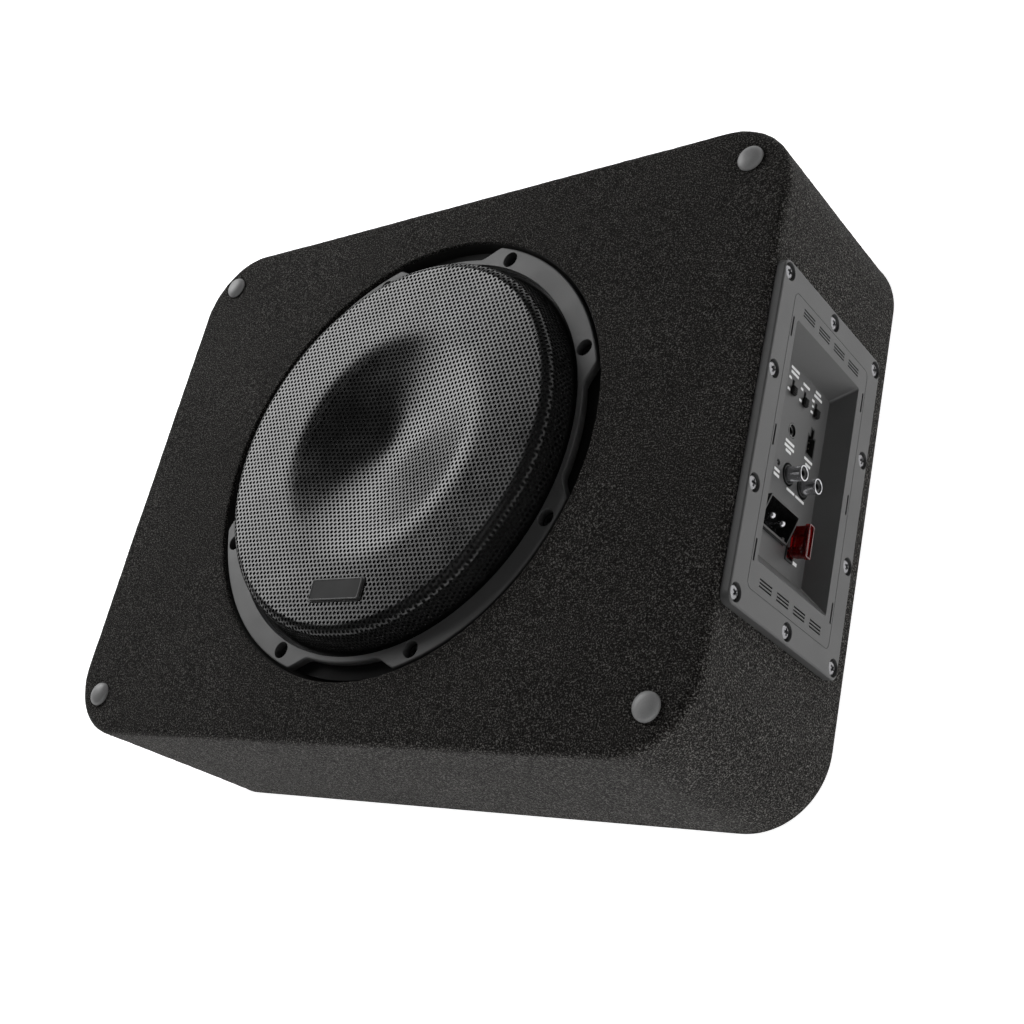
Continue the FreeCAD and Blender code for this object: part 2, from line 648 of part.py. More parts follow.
def input_outline(shrink, x0, x1):
    """The speaker-level connector's stepped outline: a wide block and a narrow keyed head."""
    block_y = 6.0 - shrink
    block_z = 4.4 - shrink
    head_z = 2.2 - shrink
    wide = box(x0, x1, INPUT_Y - block_y, INPUT_Y + block_y, INPUT_Z - block_z, INPUT_Z + block_z)
    head = box(x0, x1, INPUT_Y, INPUT_Y + 10.4 - shrink, INPUT_Z - head_z, INPUT_Z + head_z)
    return [wide, head]


def panel_screws():
    screws = []
    for y, z in panel_screw_places():
        seat = FACE_X - COUNTERBORE_DEPTH
        head = bar(PANEL_HEAD_R, seat, seat + 1.4, y, z)
        crown = Part.makeCone(PANEL_HEAD_R, 2.4, 1.3, V(seat + 1.4, y, z), X_AXIS)
        shank = bar(PANEL_SHANK_R, PANEL_SHANK_END_X, seat, y, z)
        screws.append(fuse_all([head, crown, shank]).cut(cross_recess_x(y, z, seat + 2.7)))
    save("panel_screws", screws)


def cross_recess_x(y, z, top):
    long, wide, deep = 2.0, 0.55, 1.5
    first = box(top - deep, top + 1, y - long, y + long, z - wide, z + wide)
    return first.fuse(box(top - deep, top + 1, y - wide, y + wide, z - long, z + long))


def panel_gasket():
    frame = pad(PANEL_Y, PANEL_Z, PATCH_HALF_Y, PATCH_HALF_Z, 3, WOOD_HALF_W, HALF_W)
    opening = pad(PANEL_Y + 0.6, PANEL_Z + 0.6, 66.0, 39.0, 3, WOOD_HALF_W - 1, HALF_W + 1)
    save("panel_gasket", frame.cut(opening))


def switches():
    """Three slide switches: a fixed case behind the floor and a knob that slides along Y."""
    cases = []
    for node, z in SWITCH_Z.items():
        middle = SWITCH_Y + SWITCH_TRAVEL / 2
        case = box(BOARD_X + BOARD_T, SKIN_BACK_X, middle - 6.5, middle + 6.5, z - 3.2, z + 3.2)
        slot = box(SKIN_BACK_X - 2.6, SKIN_BACK_X + 1, SWITCH_Y - 1.8, SWITCH_Y + SWITCH_TRAVEL + 1.8,
                   z - 1.2, z + 1.2)
        cases.append(case.cut(slot))
        stem = box(SKIN_BACK_X - 2.2, FLOOR_X + 0.3, SWITCH_Y - 1.4, SWITCH_Y + 1.4, z - 0.9, z + 0.9)
        cap = box(FLOOR_X + 0.3, FLOOR_X + 2.3, SWITCH_Y - 2.3, SWITCH_Y + 2.3, z - 1.9, z + 1.9)
        ridge = box(FLOOR_X + 1.9, FLOOR_X + 2.4, SWITCH_Y - 0.5, SWITCH_Y + 0.5, z - 2, z + 2)
        save(node, fuse_all([stem, cap]).cut(ridge))
    save("switch_cases", cases)


def sockets():
    """Line inputs, remote-control jack, status light and speaker-level input."""
    base_x = BOARD_X + BOARD_T
    bases = []
    shells = []
    cores = []
    for z in RCA_Z:
        base = bar(RCA_BASE_R, base_x, FLOOR_X, RCA_Y, z)
        bases.append(base.cut(bar(RCA_ROOT_R, base_x + 2, FLOOR_X + 1, RCA_Y, z)))
        root = tube_x(RCA_ROOT_R, RCA_BORE_R, base_x + 2, FLOOR_X, RCA_Y, z)
        barrel = tube_x(RCA_R, RCA_BORE_R, FLOOR_X, FLOOR_X + RCA_LENGTH, RCA_Y, z)
        shells.append(fuse_all([root, barrel]))
        core = bar(RCA_BORE_R, base_x + 2, FLOOR_X + RCA_LENGTH - 0.8, RCA_Y, z)
        cores.append(core.cut(bar(RCA_CONTACT_R, FLOOR_X - 5, FLOOR_X + RCA_LENGTH, RCA_Y, z)))
    save("line_input_bases", bases)
    save("line_input_shells", shells)
    save("line_input_cores", cores)
    jack = bar(JACK_R, base_x, FLOOR_X, JACK_Y, JACK_Z)
    mouth = bar(3.1, FLOOR_X - 0.8, FLOOR_X + 1, JACK_Y, JACK_Z)
    bore = bar(JACK_BORE_R, FLOOR_X - 7.5, FLOOR_X + 1, JACK_Y, JACK_Z)
    save("remote_jack", cut_all(jack, [mouth, bore]))
    save("status_light", bar(LED_R, base_x, FLOOR_X - 0.4, LED_Y, LED_Z))
    housing = fuse_all(input_outline(0.0, base_x, FLOOR_X))
    cavity = fuse_all(input_outline(0.9, FLOOR_X - 7.0, FLOOR_X + 1))
    save("speaker_input", housing.cut(cavity))
    pins = []
    for dy in (-3.4, 0.0, 3.4):
        for dz in (-1.9, 1.9):
            pins.append(box(FLOOR_X - 7.0, FLOOR_X - 2.0, INPUT_Y + dy - 0.4, INPUT_Y + dy + 0.4,
                            INPUT_Z + dz - 0.4, INPUT_Z + dz + 0.4))
    save("speaker_input_pins", pins)


SOCKET_WALL = 1.0
SOCKET_FLOOR_X = FLOOR_X - 5.0


def power_socket():
    """Two-pin power inlet whose shroud is cut off at a slant, and its locking tab."""
    y0, y1 = SOCKET_Y - SOCKET_HALF_Y, SOCKET_Y + SOCKET_HALF_Y
    side = [V(BOARD_X + BOARD_T, y0, 0), V(FLOOR_X + SOCKET_LOW, y0, 0), V(FLOOR_X + SOCKET_HIGH, y1, 0),
            V(BOARD_X + BOARD_T, y1, 0)]
    z0 = SOCKET_Z - SOCKET_HALF_Z
    face = Part.Face(Part.makePolygon(side + side[:1]))
    shroud = face.extrude(V(0, 0, 2 * SOCKET_HALF_Z))
    shroud.translate(V(0, 0, z0))
    wall = SOCKET_WALL
    cavity = box(SOCKET_FLOOR_X, FLOOR_X + 9, y0 + wall, y1 - wall, z0 + wall, z0 + 2 * SOCKET_HALF_Z - wall)
    save("power_socket", shroud.cut(cavity))
    pins = []
    for side_of_middle in (-0.5, 0.5):
        z = SOCKET_Z + PIN_PITCH * side_of_middle
        tip_x = FLOOR_X + PIN_LENGTH
        pin = bar(PIN_R, SOCKET_FLOOR_X, tip_x, SOCKET_Y, z)
        tip = Part.makeSphere(PIN_R, V(tip_x, SOCKET_Y, z))
        pins.append(fuse_all([pin, tip.common(box(tip_x, tip_x + 3, y0, y1, z - 3, z + 3))]))
    save("power_pins", pins)
    save("power_latch", box(FLOOR_X - 1, FLOOR_X + 1.8, y0 + wall, y0 + wall + 1.8, z0 + 2.6, z0 + 4.6))


def fuse_and_holder():
    """Blade fuse that pulls straight out of its holder, along +X."""
    base_x = BOARD_X + BOARD_T
    holder = box(base_x, FLOOR_X + 0.6, FUSE_Y - HOLDER_HALF_Y, FUSE_Y + HOLDER_HALF_Y,
                 FUSE_Z - HOLDER_HALF_Z, FUSE_Z + HOLDER_HALF_Z)
    gap = 0.15
    seat_y, seat_z = 9.0, 2.9
    holder = holder.cut(box(FLOOR_X - 1.0, FLOOR_X + 1, FUSE_Y - seat_y, FUSE_Y + seat_y,
                            FUSE_Z - seat_z, FUSE_Z + seat_z))
    for side in (-1, 1):
        y = FUSE_Y + side * FUSE_BLADE_Y
        holder = holder.cut(box(base_x + 0.5, FLOOR_X, y - 2.6 - gap, y + 2.6 + gap, FUSE_Z - 0.35 - gap,
                                FUSE_Z + 0.35 + gap))
    save("fuse_holder", holder)
    low, high = FLOOR_X - 0.8, FLOOR_X + 10.6
    bar_x = FLOOR_X + 8.2
    half_y, half_z = FUSE_W / 2, FUSE_T / 2
    body = box(low, bar_x, FUSE_Y - half_y + 1.0, FUSE_Y + half_y - 1.0, FUSE_Z - 1.7, FUSE_Z + 1.7)
    grip = box(bar_x, high, FUSE_Y - half_y, FUSE_Y + half_y, FUSE_Z - half_z, FUSE_Z + half_z)
    shoulders = []
    for side in (-1, 1):
        y = FUSE_Y + side * FUSE_BLADE_Y
        shoulders.append(box(low, bar_x, y - 2.4, y + 2.4, FUSE_Z - FUSE_T / 2, FUSE_Z + FUSE_T / 2))
    save("fuse", fuse_all([body, grip] + shoulders))
    blades = []
    for side in (-1, 1):
        y = FUSE_Y + side * FUSE_BLADE_Y
        blades.append(box(base_x + 1.2, low, y - 2.5, y + 2.5, FUSE_Z - 0.33, FUSE_Z + 0.33))
    save("fuse_blades", blades)


def cover_screw_bars(radius, x0, x1):
    bars = []
    for dy, dz in corners(COVER_HALF_Y - COVER_SCREW_IN, COVER_HALF_Z - COVER_SCREW_IN):
        bars.append(bar(radius, x0, x1, FLOOR_Y + dy, POCKET_Z + dz))
    return bars


def electronics():
    """Circuit board, its larger components, and the cover that seals them off from the box."""
    inner_y, inner_z = COVER_HALF_Y - COVER_T, COVER_HALF_Z - COVER_T
    board = pad(FLOOR_Y, POCKET_Z, inner_y - 0.5, inner_z - 0.5, 1, BOARD_X, BOARD_X + BOARD_T)
    save("circuit_board", cut_all(board, cover_screw_bars(1.4, BOARD_X - 1, BOARD_X + 3)))
    cover = pad(FLOOR_Y, POCKET_Z, COVER_HALF_Y, COVER_HALF_Z, 3, COVER_BACK_X, SKIN_BACK_X)
    hollow = pad(FLOOR_Y, POCKET_Z, inner_y, inner_z, 2, COVER_BACK_X + COVER_T, SKIN_BACK_X + 1)
    wire_holes = [bar(WIRE_R, COVER_BACK_X - 1, COVER_BACK_X + 3, y, WIRE_EXIT_Z) for y in WIRE_Y]
    tools = [hollow] + wire_holes + cover_screw_bars(COVER_SCREW_R, COVER_BACK_X - 1, COVER_BACK_X + 3)
    save("amp_cover", cut_all(cover, tools))
    screws = []
    shanks = cover_screw_bars(COVER_SCREW_R, COVER_BACK_X, BOARD_X + BOARD_T + 5)
    heads = cover_screw_bars(2.8, COVER_BACK_X - 2, COVER_BACK_X)
    for shank, head in zip(shanks, heads):
        screws.append(fuse_all([shank, head]))
    save("cover_screws", screws)
    cans = []
    for y in (-40.0, -27.0, -14.0):
        cans.append(bar(6.0, BOARD_X - 30, BOARD_X, y, 88.0))
    save("capacitors", cans)
    coil = tube_x(12.0, 6.0, BOARD_X - 12, BOARD_X, -30.0, 62.0)
    save("toroid_coil", coil)
    chips = []
    for y in (14.0, 26.0, 38.0):
        chips.append(box(BOARD_X - 16, BOARD_X, y - 5, y + 5, 56.0, 60.5))
    save("transistors", chips)
    fins = [box(BOARD_X - 26, BOARD_X - 1, 6.0, 44.0, 60.5, 64.0)]
    for y in (6.0, 13.0, 20.0, 27.0, 34.0, 41.5):
        fins.append(box(BOARD_X - 26, BOARD_X - 1, y, y + 2.0, 63.5, 92.0))
    save("heat_sink", fuse_all(fins))


def main():
    front_baffle()
    back_panel()
    side_boards()
    corner_posts()
    carpet()
    screw_caps()
    trim_ring()
    grille()
    badge()
    chassis()
    moving_assembly()
    motor()
    terminals()
    amp_panel()
    panel_screws()
    panel_gasket()
    switches()
    sockets()
    power_socket()
    fuse_and_holder()
    electronics()
    os.makedirs("parts", exist_ok=True)
    for node, shape in PARTS.items():
        shape.exportStep("parts/" + node + ".step")
        solids = len(shape.Solids)
        volume = shape.Volume / 1000
        print(f"{node:20s} solids {solids:2d}  valid {shape.isValid()}  volume {volume:9.2f} cm3")
    print(len(PARTS), "nodes")


main()
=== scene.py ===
"""Looks of a powered car subwoofer: a carpeted box with a perforated grille and an amplifier panel.

Lengths are in millimetres in the part's own frame, and MM turns them into Blender's metres. Only the floor,
the lights and the camera are laid out in metres.
"""
import json
import math
import random

import bmesh
import bpy
import numpy as np
from mathutils import Matrix, Vector, geometry, noise


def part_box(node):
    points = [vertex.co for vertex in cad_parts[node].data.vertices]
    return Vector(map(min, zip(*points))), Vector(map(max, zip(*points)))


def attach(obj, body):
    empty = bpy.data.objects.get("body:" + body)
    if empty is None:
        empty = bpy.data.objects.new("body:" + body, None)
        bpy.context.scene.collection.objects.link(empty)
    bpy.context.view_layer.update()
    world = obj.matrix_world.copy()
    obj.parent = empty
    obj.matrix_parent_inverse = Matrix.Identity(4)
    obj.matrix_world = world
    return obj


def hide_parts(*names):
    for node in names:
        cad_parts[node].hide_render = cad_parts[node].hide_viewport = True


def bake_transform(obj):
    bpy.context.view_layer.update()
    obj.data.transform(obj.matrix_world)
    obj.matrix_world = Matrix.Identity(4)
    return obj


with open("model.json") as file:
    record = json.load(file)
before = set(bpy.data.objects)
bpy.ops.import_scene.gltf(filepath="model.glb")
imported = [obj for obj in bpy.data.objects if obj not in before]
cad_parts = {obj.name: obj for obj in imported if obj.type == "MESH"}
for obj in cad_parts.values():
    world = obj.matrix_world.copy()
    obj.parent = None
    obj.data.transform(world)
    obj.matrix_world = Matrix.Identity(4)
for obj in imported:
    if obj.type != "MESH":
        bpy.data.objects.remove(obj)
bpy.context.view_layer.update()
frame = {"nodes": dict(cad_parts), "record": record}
NODES = frame["nodes"]
MM = 0.001
CABINET = "cabinet"
CONE = "moving_cone"
SEED = 11
random.seed(SEED)
SPRINKLE = np.random.default_rng(SEED)

BOXES = {name: np.array(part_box(name)) / MM for name in NODES}


def low(node):
    return BOXES[node][0]


def high(node):
    return BOXES[node][1]


def middle(node):
    return (low(node) + high(node)) / 2


def box_of(node):
    """The low corner, high corner and middle of a node's box."""
    return low(node), high(node), middle(node)


# ---- Sizes read from the frame ----
BOX_HALF_X = high("carpet_back")[0]
BOX_HALF_Y = high("carpet_back")[1]
BOX_TOP = high("carpet_cover")[2]
PANEL_FACE = high("amp_panel")[0]
PANEL_MID = middle("amp_panel")
BADGE_PROUD = 0.7        # the badge's base stands this far above the grille's face
GRILLE_TOP = high("badge_base")[2] - BADGE_PROUD
RING_TOP = high("trim_ring")[2]
FLANGE_TOP = low("trim_ring")[2]
POCKET_DEPTH = 13.0
FLOOR_X = PANEL_FACE - POCKET_DEPTH

# ---- Sizes of what is only seen ----
CORNER_R = 44.0
CARPET_T = 2.5
RECESS_R = 137.0
CAP_R = 7.25
RING_R = 135.0
PITCH = 3.0              # of the grille's round holes
HOLE_R = 1.1


# ---- Node graphs ----

class Graph:
    """A material under construction: makes nodes and joins their sockets."""

    def __init__(self, name):
        self.material = bpy.data.materials.new(name)
        self.material.use_nodes = True
        self.tree = self.material.node_tree
        self.shader = self.tree.nodes["Principled BSDF"]
        self.place = self.node("ShaderNodeTexCoord").outputs["Object"]

    def node(self, kind, **values):
        made = self.tree.nodes.new(kind)
        for key, value in values.items():
            setattr(made, key, value)
        return made

    def join(self, source, target):
        self.tree.links.new(source, target)

    def noise(self, grain_mm, detail=3.0, rough=0.55, stretch=None):
        """Noise whose blotches are about grain_mm wide; stretch scales it along each axis."""
        made = self.node("ShaderNodeTexNoise")
        made.inputs["Scale"].default_value = 1.0 / (grain_mm * MM)
        made.inputs["Detail"].default_value = detail
        made.inputs["Roughness"].default_value = rough
        place = self.place
        if stretch:
            mapping = self.node("ShaderNodeMapping")
            mapping.inputs["Scale"].default_value = stretch
            self.join(self.place, mapping.inputs["Vector"])
            place = mapping.outputs["Vector"]
        self.join(place, made.inputs["Vector"])
        return made.outputs["Fac"]

    def ramp(self, source, stops):
        """Colour against a value; stops are (position, grey or colour)."""
        made = self.node("ShaderNodeValToRGB")
        ramp = made.color_ramp
        while len(ramp.elements) < len(stops):
            ramp.elements.new(0.5)
        for element, (position, colour) in zip(ramp.elements, stops):
            element.position = position
            element.color = rgba(colour)
        self.join(source, made.inputs["Fac"])
        return made.outputs["Color"]

    def mix(self, share, first, second, mode="MIX"):
        made = self.node("ShaderNodeMix", data_type="RGBA", blend_type=mode)
        self.put(share, made.inputs["Factor"])
        colour_a, colour_b, colour_out = 6, 7, 2
        self.put(first, made.inputs[colour_a])
        self.put(second, made.inputs[colour_b])
        return made.outputs[colour_out]

    def put(self, value, socket):
        if isinstance(value, bpy.types.NodeSocket):
            self.join(value, socket)
        elif socket.type == "RGBA":
            socket.default_value = rgba(value)
        else:
            socket.default_value = value

    def span(self, source, low_value, high_value, from_low=0.0, from_high=1.0):
        made = self.node("ShaderNodeMapRange")
        self.join(source, made.inputs["Value"])
        made.inputs["From Min"].default_value = from_low
        made.inputs["From Max"].default_value = from_high
        made.inputs["To Min"].default_value = low_value
        made.inputs["To Max"].default_value = high_value
        return made.outputs["Result"]

    def bump(self, height, depth_mm, strength=1.0, under=None):
        made = self.node("ShaderNodeBump")
        made.inputs["Strength"].default_value = strength
        made.inputs["Distance"].default_value = depth_mm * MM
        self.join(height, made.inputs["Height"])
        if under is not None:
            self.join(under, made.inputs["Normal"])
        return made.outputs["Normal"]

    def round_edges(self, radius_mm):
        """Normals that shade sharp moulded edges as if they had this radius."""
        made = self.node("ShaderNodeBevel", samples=4)
        made.inputs["Radius"].default_value = radius_mm * MM
        return made.outputs["Normal"]

    def set(self, **values):
        for key, value in values.items():
            self.put(value, self.shader.inputs[key.replace("_", " ")])
        return self


def rgba(colour):
    if isinstance(colour, (int, float)):
        return (colour, colour, colour, 1.0)
    return (*colour, 1.0)


def scaled(colour, factor):
    if isinstance(colour, (int, float)):
        return colour * factor
    return tuple(channel * factor for channel in colour)


def moulded(name, colour, roughness, grain_mm=0.35, depth_mm=0.03, mottle=0.12, edge_mm=0.0, coat=0.0,
            metal=0.0, shine=0.5):
    """Moulded plastic, paint or rubber: fine grain, cloudy colour and gloss, slightly rubbed patches."""
    g = Graph(name)
    grain = g.noise(grain_mm, 2.0)
    cloud = g.noise(28.0, 4.0, 0.6)
    tint = g.ramp(cloud, [(0.3, scaled(colour, 1 - mottle)), (0.7, scaled(colour, 1 + mottle))])
    speck = g.ramp(grain, [(0.25, 0.88), (0.75, 1.0)])
    rounded = g.round_edges(edge_mm) if edge_mm else None
    g.set(Base_Color=g.mix(1.0, tint, speck, "MULTIPLY"), Metallic=metal,
          Roughness=g.span(cloud, roughness - 0.06, roughness + 0.08, 0.25, 0.75),
          Normal=g.bump(grain, depth_mm, 1.0, rounded), Coat_Weight=coat, Coat_Roughness=0.2,
          Specular_IOR_Level=shine)
    return g.material


def metal(name, colour, roughness, brushed_mm=0.0, axis=0):
    """Bare or plated metal with a faint grain; brushed_mm gives scratches along an axis."""
    g = Graph(name)
    if brushed_mm:
        stretch = [1.0, 1.0, 1.0]
        stretch[axis] = 0.03
        grain = g.noise(brushed_mm, 2.0, 0.5, stretch)
    else:
        grain = g.noise(1.2, 4.0, 0.6)
    cloud = g.noise(6.0, 3.0)
    g.set(Base_Color=g.ramp(cloud, [(0.3, scaled(colour, 0.9)), (0.7, colour)]), Metallic=1.0,
          Roughness=g.span(grain, roughness - 0.05, roughness + 0.08, 0.3, 0.7),
          Normal=g.bump(grain, 0.01, 0.6))
    return g.material


def felt(name, dark, light, fleck):
    """Needle-felt carpet: a near-black mat of fibres in soft clumps, with scattered pale fibre ends."""
    g = Graph(name)
    fibres = g.noise(0.8, 2.5, 0.6)
    clumps = g.noise(3.0, 3.0, 0.6)
    shade = g.noise(70.0, 2.0)
    mat = g.ramp(fibres, [(0.38, dark), (0.48, scaled(light, 0.5)), (0.55, light), (0.64, fleck)])
    worn = g.ramp(clumps, [(0.3, 0.6), (0.7, 1.15)])
    broad = g.ramp(shade, [(0.3, 0.85), (0.7, 1.05)])
    colour = g.mix(1.0, g.mix(1.0, mat, worn, "MULTIPLY"), broad, "MULTIPLY")
    soft = g.bump(clumps, 0.5, 0.6)
    g.set(Base_Color=colour, Roughness=0.95, Normal=g.bump(fibres, 0.5, 1.0, soft), Specular_IOR_Level=0.08,
          Sheen_Weight=0.04, Sheen_Roughness=0.5)
    return g.material


def stained_board(name):
    """Black-stained fibreboard: fine flat grain with a few paler fibres."""
    g = Graph(name)
    grain = g.noise(0.5, 5.0, 0.7, (1.0, 1.0, 4.0))
    g.set(Base_Color=g.ramp(grain, [(0.35, 0.004), (0.7, (0.02, 0.018, 0.016))]), Roughness=0.9,
          Normal=g.bump(grain, 0.1, 0.6))
    return g.material


def clear_red(name):
    """Deep translucent red plastic with faint flow marks."""
    g = Graph(name)
    flow = g.noise(4.0, 2.0, 0.5, (1.0, 3.0, 1.0))
    g.set(Base_Color=g.ramp(flow, [(0.3, (0.3, 0.002, 0.003)), (0.7, (0.46, 0.006, 0.008))]),
          Transmission_Weight=0.85, IOR=1.5, Roughness=g.span(flow, 0.05, 0.14),
          Normal=g.bump(flow, 0.03, 0.4), Specular_IOR_Level=0.3, Coat_Weight=0.15)
    return g.material


def woven_cloth(name, colour):
    """Resin-treated cloth with a plain weave."""
    g = Graph(name)
    weave_mm = 6.0
    waves = []
    for axis in ("X", "Y"):
        wave = g.node("ShaderNodeTexWave", bands_direction=axis)
        wave.inputs["Scale"].default_value = 1.0 / (weave_mm * MM)
        g.join(g.place, wave.inputs["Vector"])
        waves.append(wave.outputs["Fac"])
    cross = g.mix(1.0, waves[0], waves[1], "MULTIPLY")
    g.set(Base_Color=g.ramp(cross, [(0.0, scaled(colour, 0.5)), (1.0, colour)]), Roughness=0.8,
          Normal=g.bump(cross, 0.2, 0.8))
    return g.material


def printed_white(name):
    """Slightly uneven white screen print."""
    g = Graph(name)
    ink = g.noise(0.4, 3.0)
    g.set(Base_Color=g.ramp(ink, [(0.3, 0.62), (0.6, 0.85)]), Roughness=0.6, Normal=g.bump(ink, 0.01, 0.5))
    return g.material


FELT_DARK = (0.003, 0.0022, 0.0019)
FELT_LIGHT = (0.037, 0.0345, 0.032)
FELT_FLECK = (0.19, 0.184, 0.175)

MATERIALS = {
    "carpet": felt("carpet_felt", FELT_DARK, FELT_LIGHT, FELT_FLECK),
    "mdf": stained_board("stained_board"),
    "cap_grey": moulded("cap_plastic", 0.27, 0.45, 0.6, 0.012),
    "ring_grey": moulded("ring_plastic", 0.068, 0.5, 0.2, 0.015, mottle=0.05),
    "grille_steel": moulded("powder_coat", 0.022, 0.2, 0.25, 0.008, mottle=0.05, metal=0.45),
    "soft_black": moulded("black_plastic", 0.012, 0.5, 0.4, 0.02),
    "badge_grey": moulded("badge_plate_grey", 0.012, 0.6, 0.3, 0.008, shine=0.25),
    "chassis_black": moulded("chassis_paint", 0.004, 0.7, 0.6, 0.03, shine=0.12),
    "foam_rubber": moulded("foam_rubber", 0.02, 0.85, 0.6, 0.15),
    "dark_steel": moulded("black_oxide", 0.006, 0.55, 0.3, 0.01, metal=0.2),
    "cone_paper": moulded("cone_pulp", 0.02, 0.75, 0.9, 0.12),
    "bare_aluminium": metal("aluminium_bare", (0.75, 0.76, 0.78), 0.35, 0.3),
    "copper": metal("copper_wire", (0.72, 0.33, 0.17), 0.3, 0.3, 1),
    "roll_rubber": moulded("roll_rubber", 0.02, 0.55, 0.5, 0.03),
    "spider_cloth": woven_cloth("spider_cloth", (0.45, 0.3, 0.12)),
    "plain_steel": metal("zinc_steel", (0.55, 0.56, 0.58), 0.38),
    "ferrite": moulded("ferrite", 0.05, 0.6, 0.8, 0.1),
    "wire_jacket": moulded("wire_jacket", (0.05, 0.01, 0.01), 0.45, 0.5, 0.02),
    "panel_grey": moulded("panel_plastic", 0.08, 0.45, 0.3, 0.03, 0.06, edge_mm=0.45),
    "bright_steel": metal("screw_steel", (0.3, 0.3, 0.31), 0.27),
    "bright_chrome": metal("nickel_plate", (0.6, 0.6, 0.62), 0.2),
    "lens_dark": moulded("tinted_lens", 0.01, 0.15, 0.5, 0.005),
    "tinned_brass": metal("tinned_contact", (0.72, 0.7, 0.64), 0.28),
    "switch_black": moulded("switch_plastic", 0.004, 0.55, 0.3, 0.02, shine=0.2),
    "gloss_black": moulded("gloss_black", 0.006, 0.16, 1.0, 0.004, coat=0.4),
    "fuse_red": clear_red("fuse_plastic"),
    "board_green": moulded("solder_mask", (0.02, 0.13, 0.05), 0.3, 0.8, 0.02),
    "cover_steel": metal("galvanised", (0.5, 0.51, 0.52), 0.42),
    "can_black": moulded("sleeve_black", 0.025, 0.35, 0.8, 0.01),
    "label_white": printed_white("label_print"),
}


def dress_cad_nodes():
    """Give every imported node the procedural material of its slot."""
    for part in frame["record"]["subparts"]:
        data = NODES[part["node"]].data
        data.materials.clear()
        data.materials.append(MATERIALS[part["material_slot"]])


# ---- Mesh helpers ----

def placed(name, data):
    """A new object in the scene that holds a mesh, a light or a camera."""
    obj = bpy.data.objects.new(name, data)
    bpy.context.scene.collection.objects.link(obj)
    return obj


def piece(name, points, faces, slot, body=CABINET, replaces=(), smooth_deg=35.0):
    """A mesh in the row frame, from points in millimetres, with its material, body and stand-in."""
    mesh = bpy.data.meshes.new(name)
    mesh.from_pydata((np.asarray(points, float) * MM).tolist(), [], [tuple(int(i) for i in f) for f in faces])
    mesh.validate()
    obj = placed(name, mesh)
    finish_piece(obj, slot, body, replaces, smooth_deg)
    return obj


def finish_piece(obj, slot, body, replaces, smooth_deg):
    obj.data.materials.append(MATERIALS[slot])
    face_outwards(obj.data)
    shade(obj, smooth_deg)
    if body:
        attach(obj, body)
    if replaces:
        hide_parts(*replaces)


def shade(obj, smooth_deg):
    """Smooth shading, with edges sharper than the angle kept crisp."""
    obj.data.shade_smooth()
    obj.data.set_sharp_from_angle(angle=math.radians(smooth_deg))


def face_outwards(mesh):
    work = bmesh.new()
    work.from_mesh(mesh)
    bmesh.ops.recalc_face_normals(work, faces=work.faces)
    work.to_mesh(mesh)
    work.free()


def apply_modifier(obj, kind, **values):
    """Add a modifier and bake its result into the mesh."""
    modifier = obj.modifiers.new(kind.lower(), kind)
    for key, value in values.items():
        setattr(modifier, key, value)
    graph = bpy.context.evaluated_depsgraph_get()
    baked = bpy.data.meshes.new_from_object(obj.evaluated_get(graph), depsgraph=graph)
    obj.modifiers.clear()
    old = obj.data
    obj.data = baked
    bpy.data.meshes.remove(old)


def soften(obj, width_mm, segments=3, angle_deg=30.0):
    """Round an object's sharp edges."""
    apply_modifier(obj, "BEVEL", width=width_mm * MM, segments=segments, limit_method="ANGLE",
                   angle_limit=math.radians(angle_deg), harden_normals=False)
    shade(obj, 40.0)


def strip(first, second):
    """Quads between two closed rows of point numbers."""
    count = len(first)
    return [(first[i], first[(i + 1) % count], second[(i + 1) % count], second[i]) for i in range(count)]


def row_strips(rows, size, wrap=False):
    """Quads between closed rows of points made one after another; wrap joins the last row to the first."""
    faces = []
    for row in range(rows if wrap else rows - 1):
        after = (row + 1) % rows
        faces += strip(range(row * size, (row + 1) * size), range(after * size, (after + 1) * size))
    return faces


def turns(start_deg, end_deg, count):
    """Evenly spread angles in radians, both ends included."""
    return np.radians(np.linspace(start_deg, end_deg, count))


def plate_mesh(loops, low_w, high_w, place):
    """Points and faces of a flat plate with holes. loops are lists of (u, v), the outer one first."""
    rings = [[Vector((u, v, 0.0)) for u, v in loop] for loop in loops]
    tiles = geometry.tessellate_polygon(rings)
    flat = [(p.x, p.y) for ring in rings for p in ring]
    count = len(flat)
    points = [place(u, v, low_w) for u, v in flat] + [place(u, v, high_w) for u, v in flat]
    faces = [tuple(t) for t in tiles] + [tuple(i + count for i in reversed(t)) for t in tiles]
    start = 0
    for ring in rings:
        end = start + len(ring)
        faces += strip(range(start, end), range(start + count, end + count))
        start = end
    return points, faces


def loop_normals(loop, outward):
    """Unit normals of a closed flat loop: away from its inside, or towards it."""
    pts = np.asarray(loop, float)
    ahead = np.roll(pts, -1, 0) - pts
    normal = np.column_stack([ahead[:, 1], -ahead[:, 0]])
    normal /= np.linalg.norm(normal, axis=1)[:, None]
    area = np.sum(pts[:, 0] * np.roll(pts[:, 1], -1) - np.roll(pts[:, 0], -1) * pts[:, 1])
    both = normal + np.roll(normal, 1, 0)
    both /= np.maximum(np.sum(both * normal, 1), 0.3)[:, None]
    return both * math.copysign(1.0, area) * (1 if outward else -1)


FLAT_MARGIN = 1.3        # of a rounded edge's radius: where the flat face begins
EDGE_POINTS = 5          # across a rounded edge


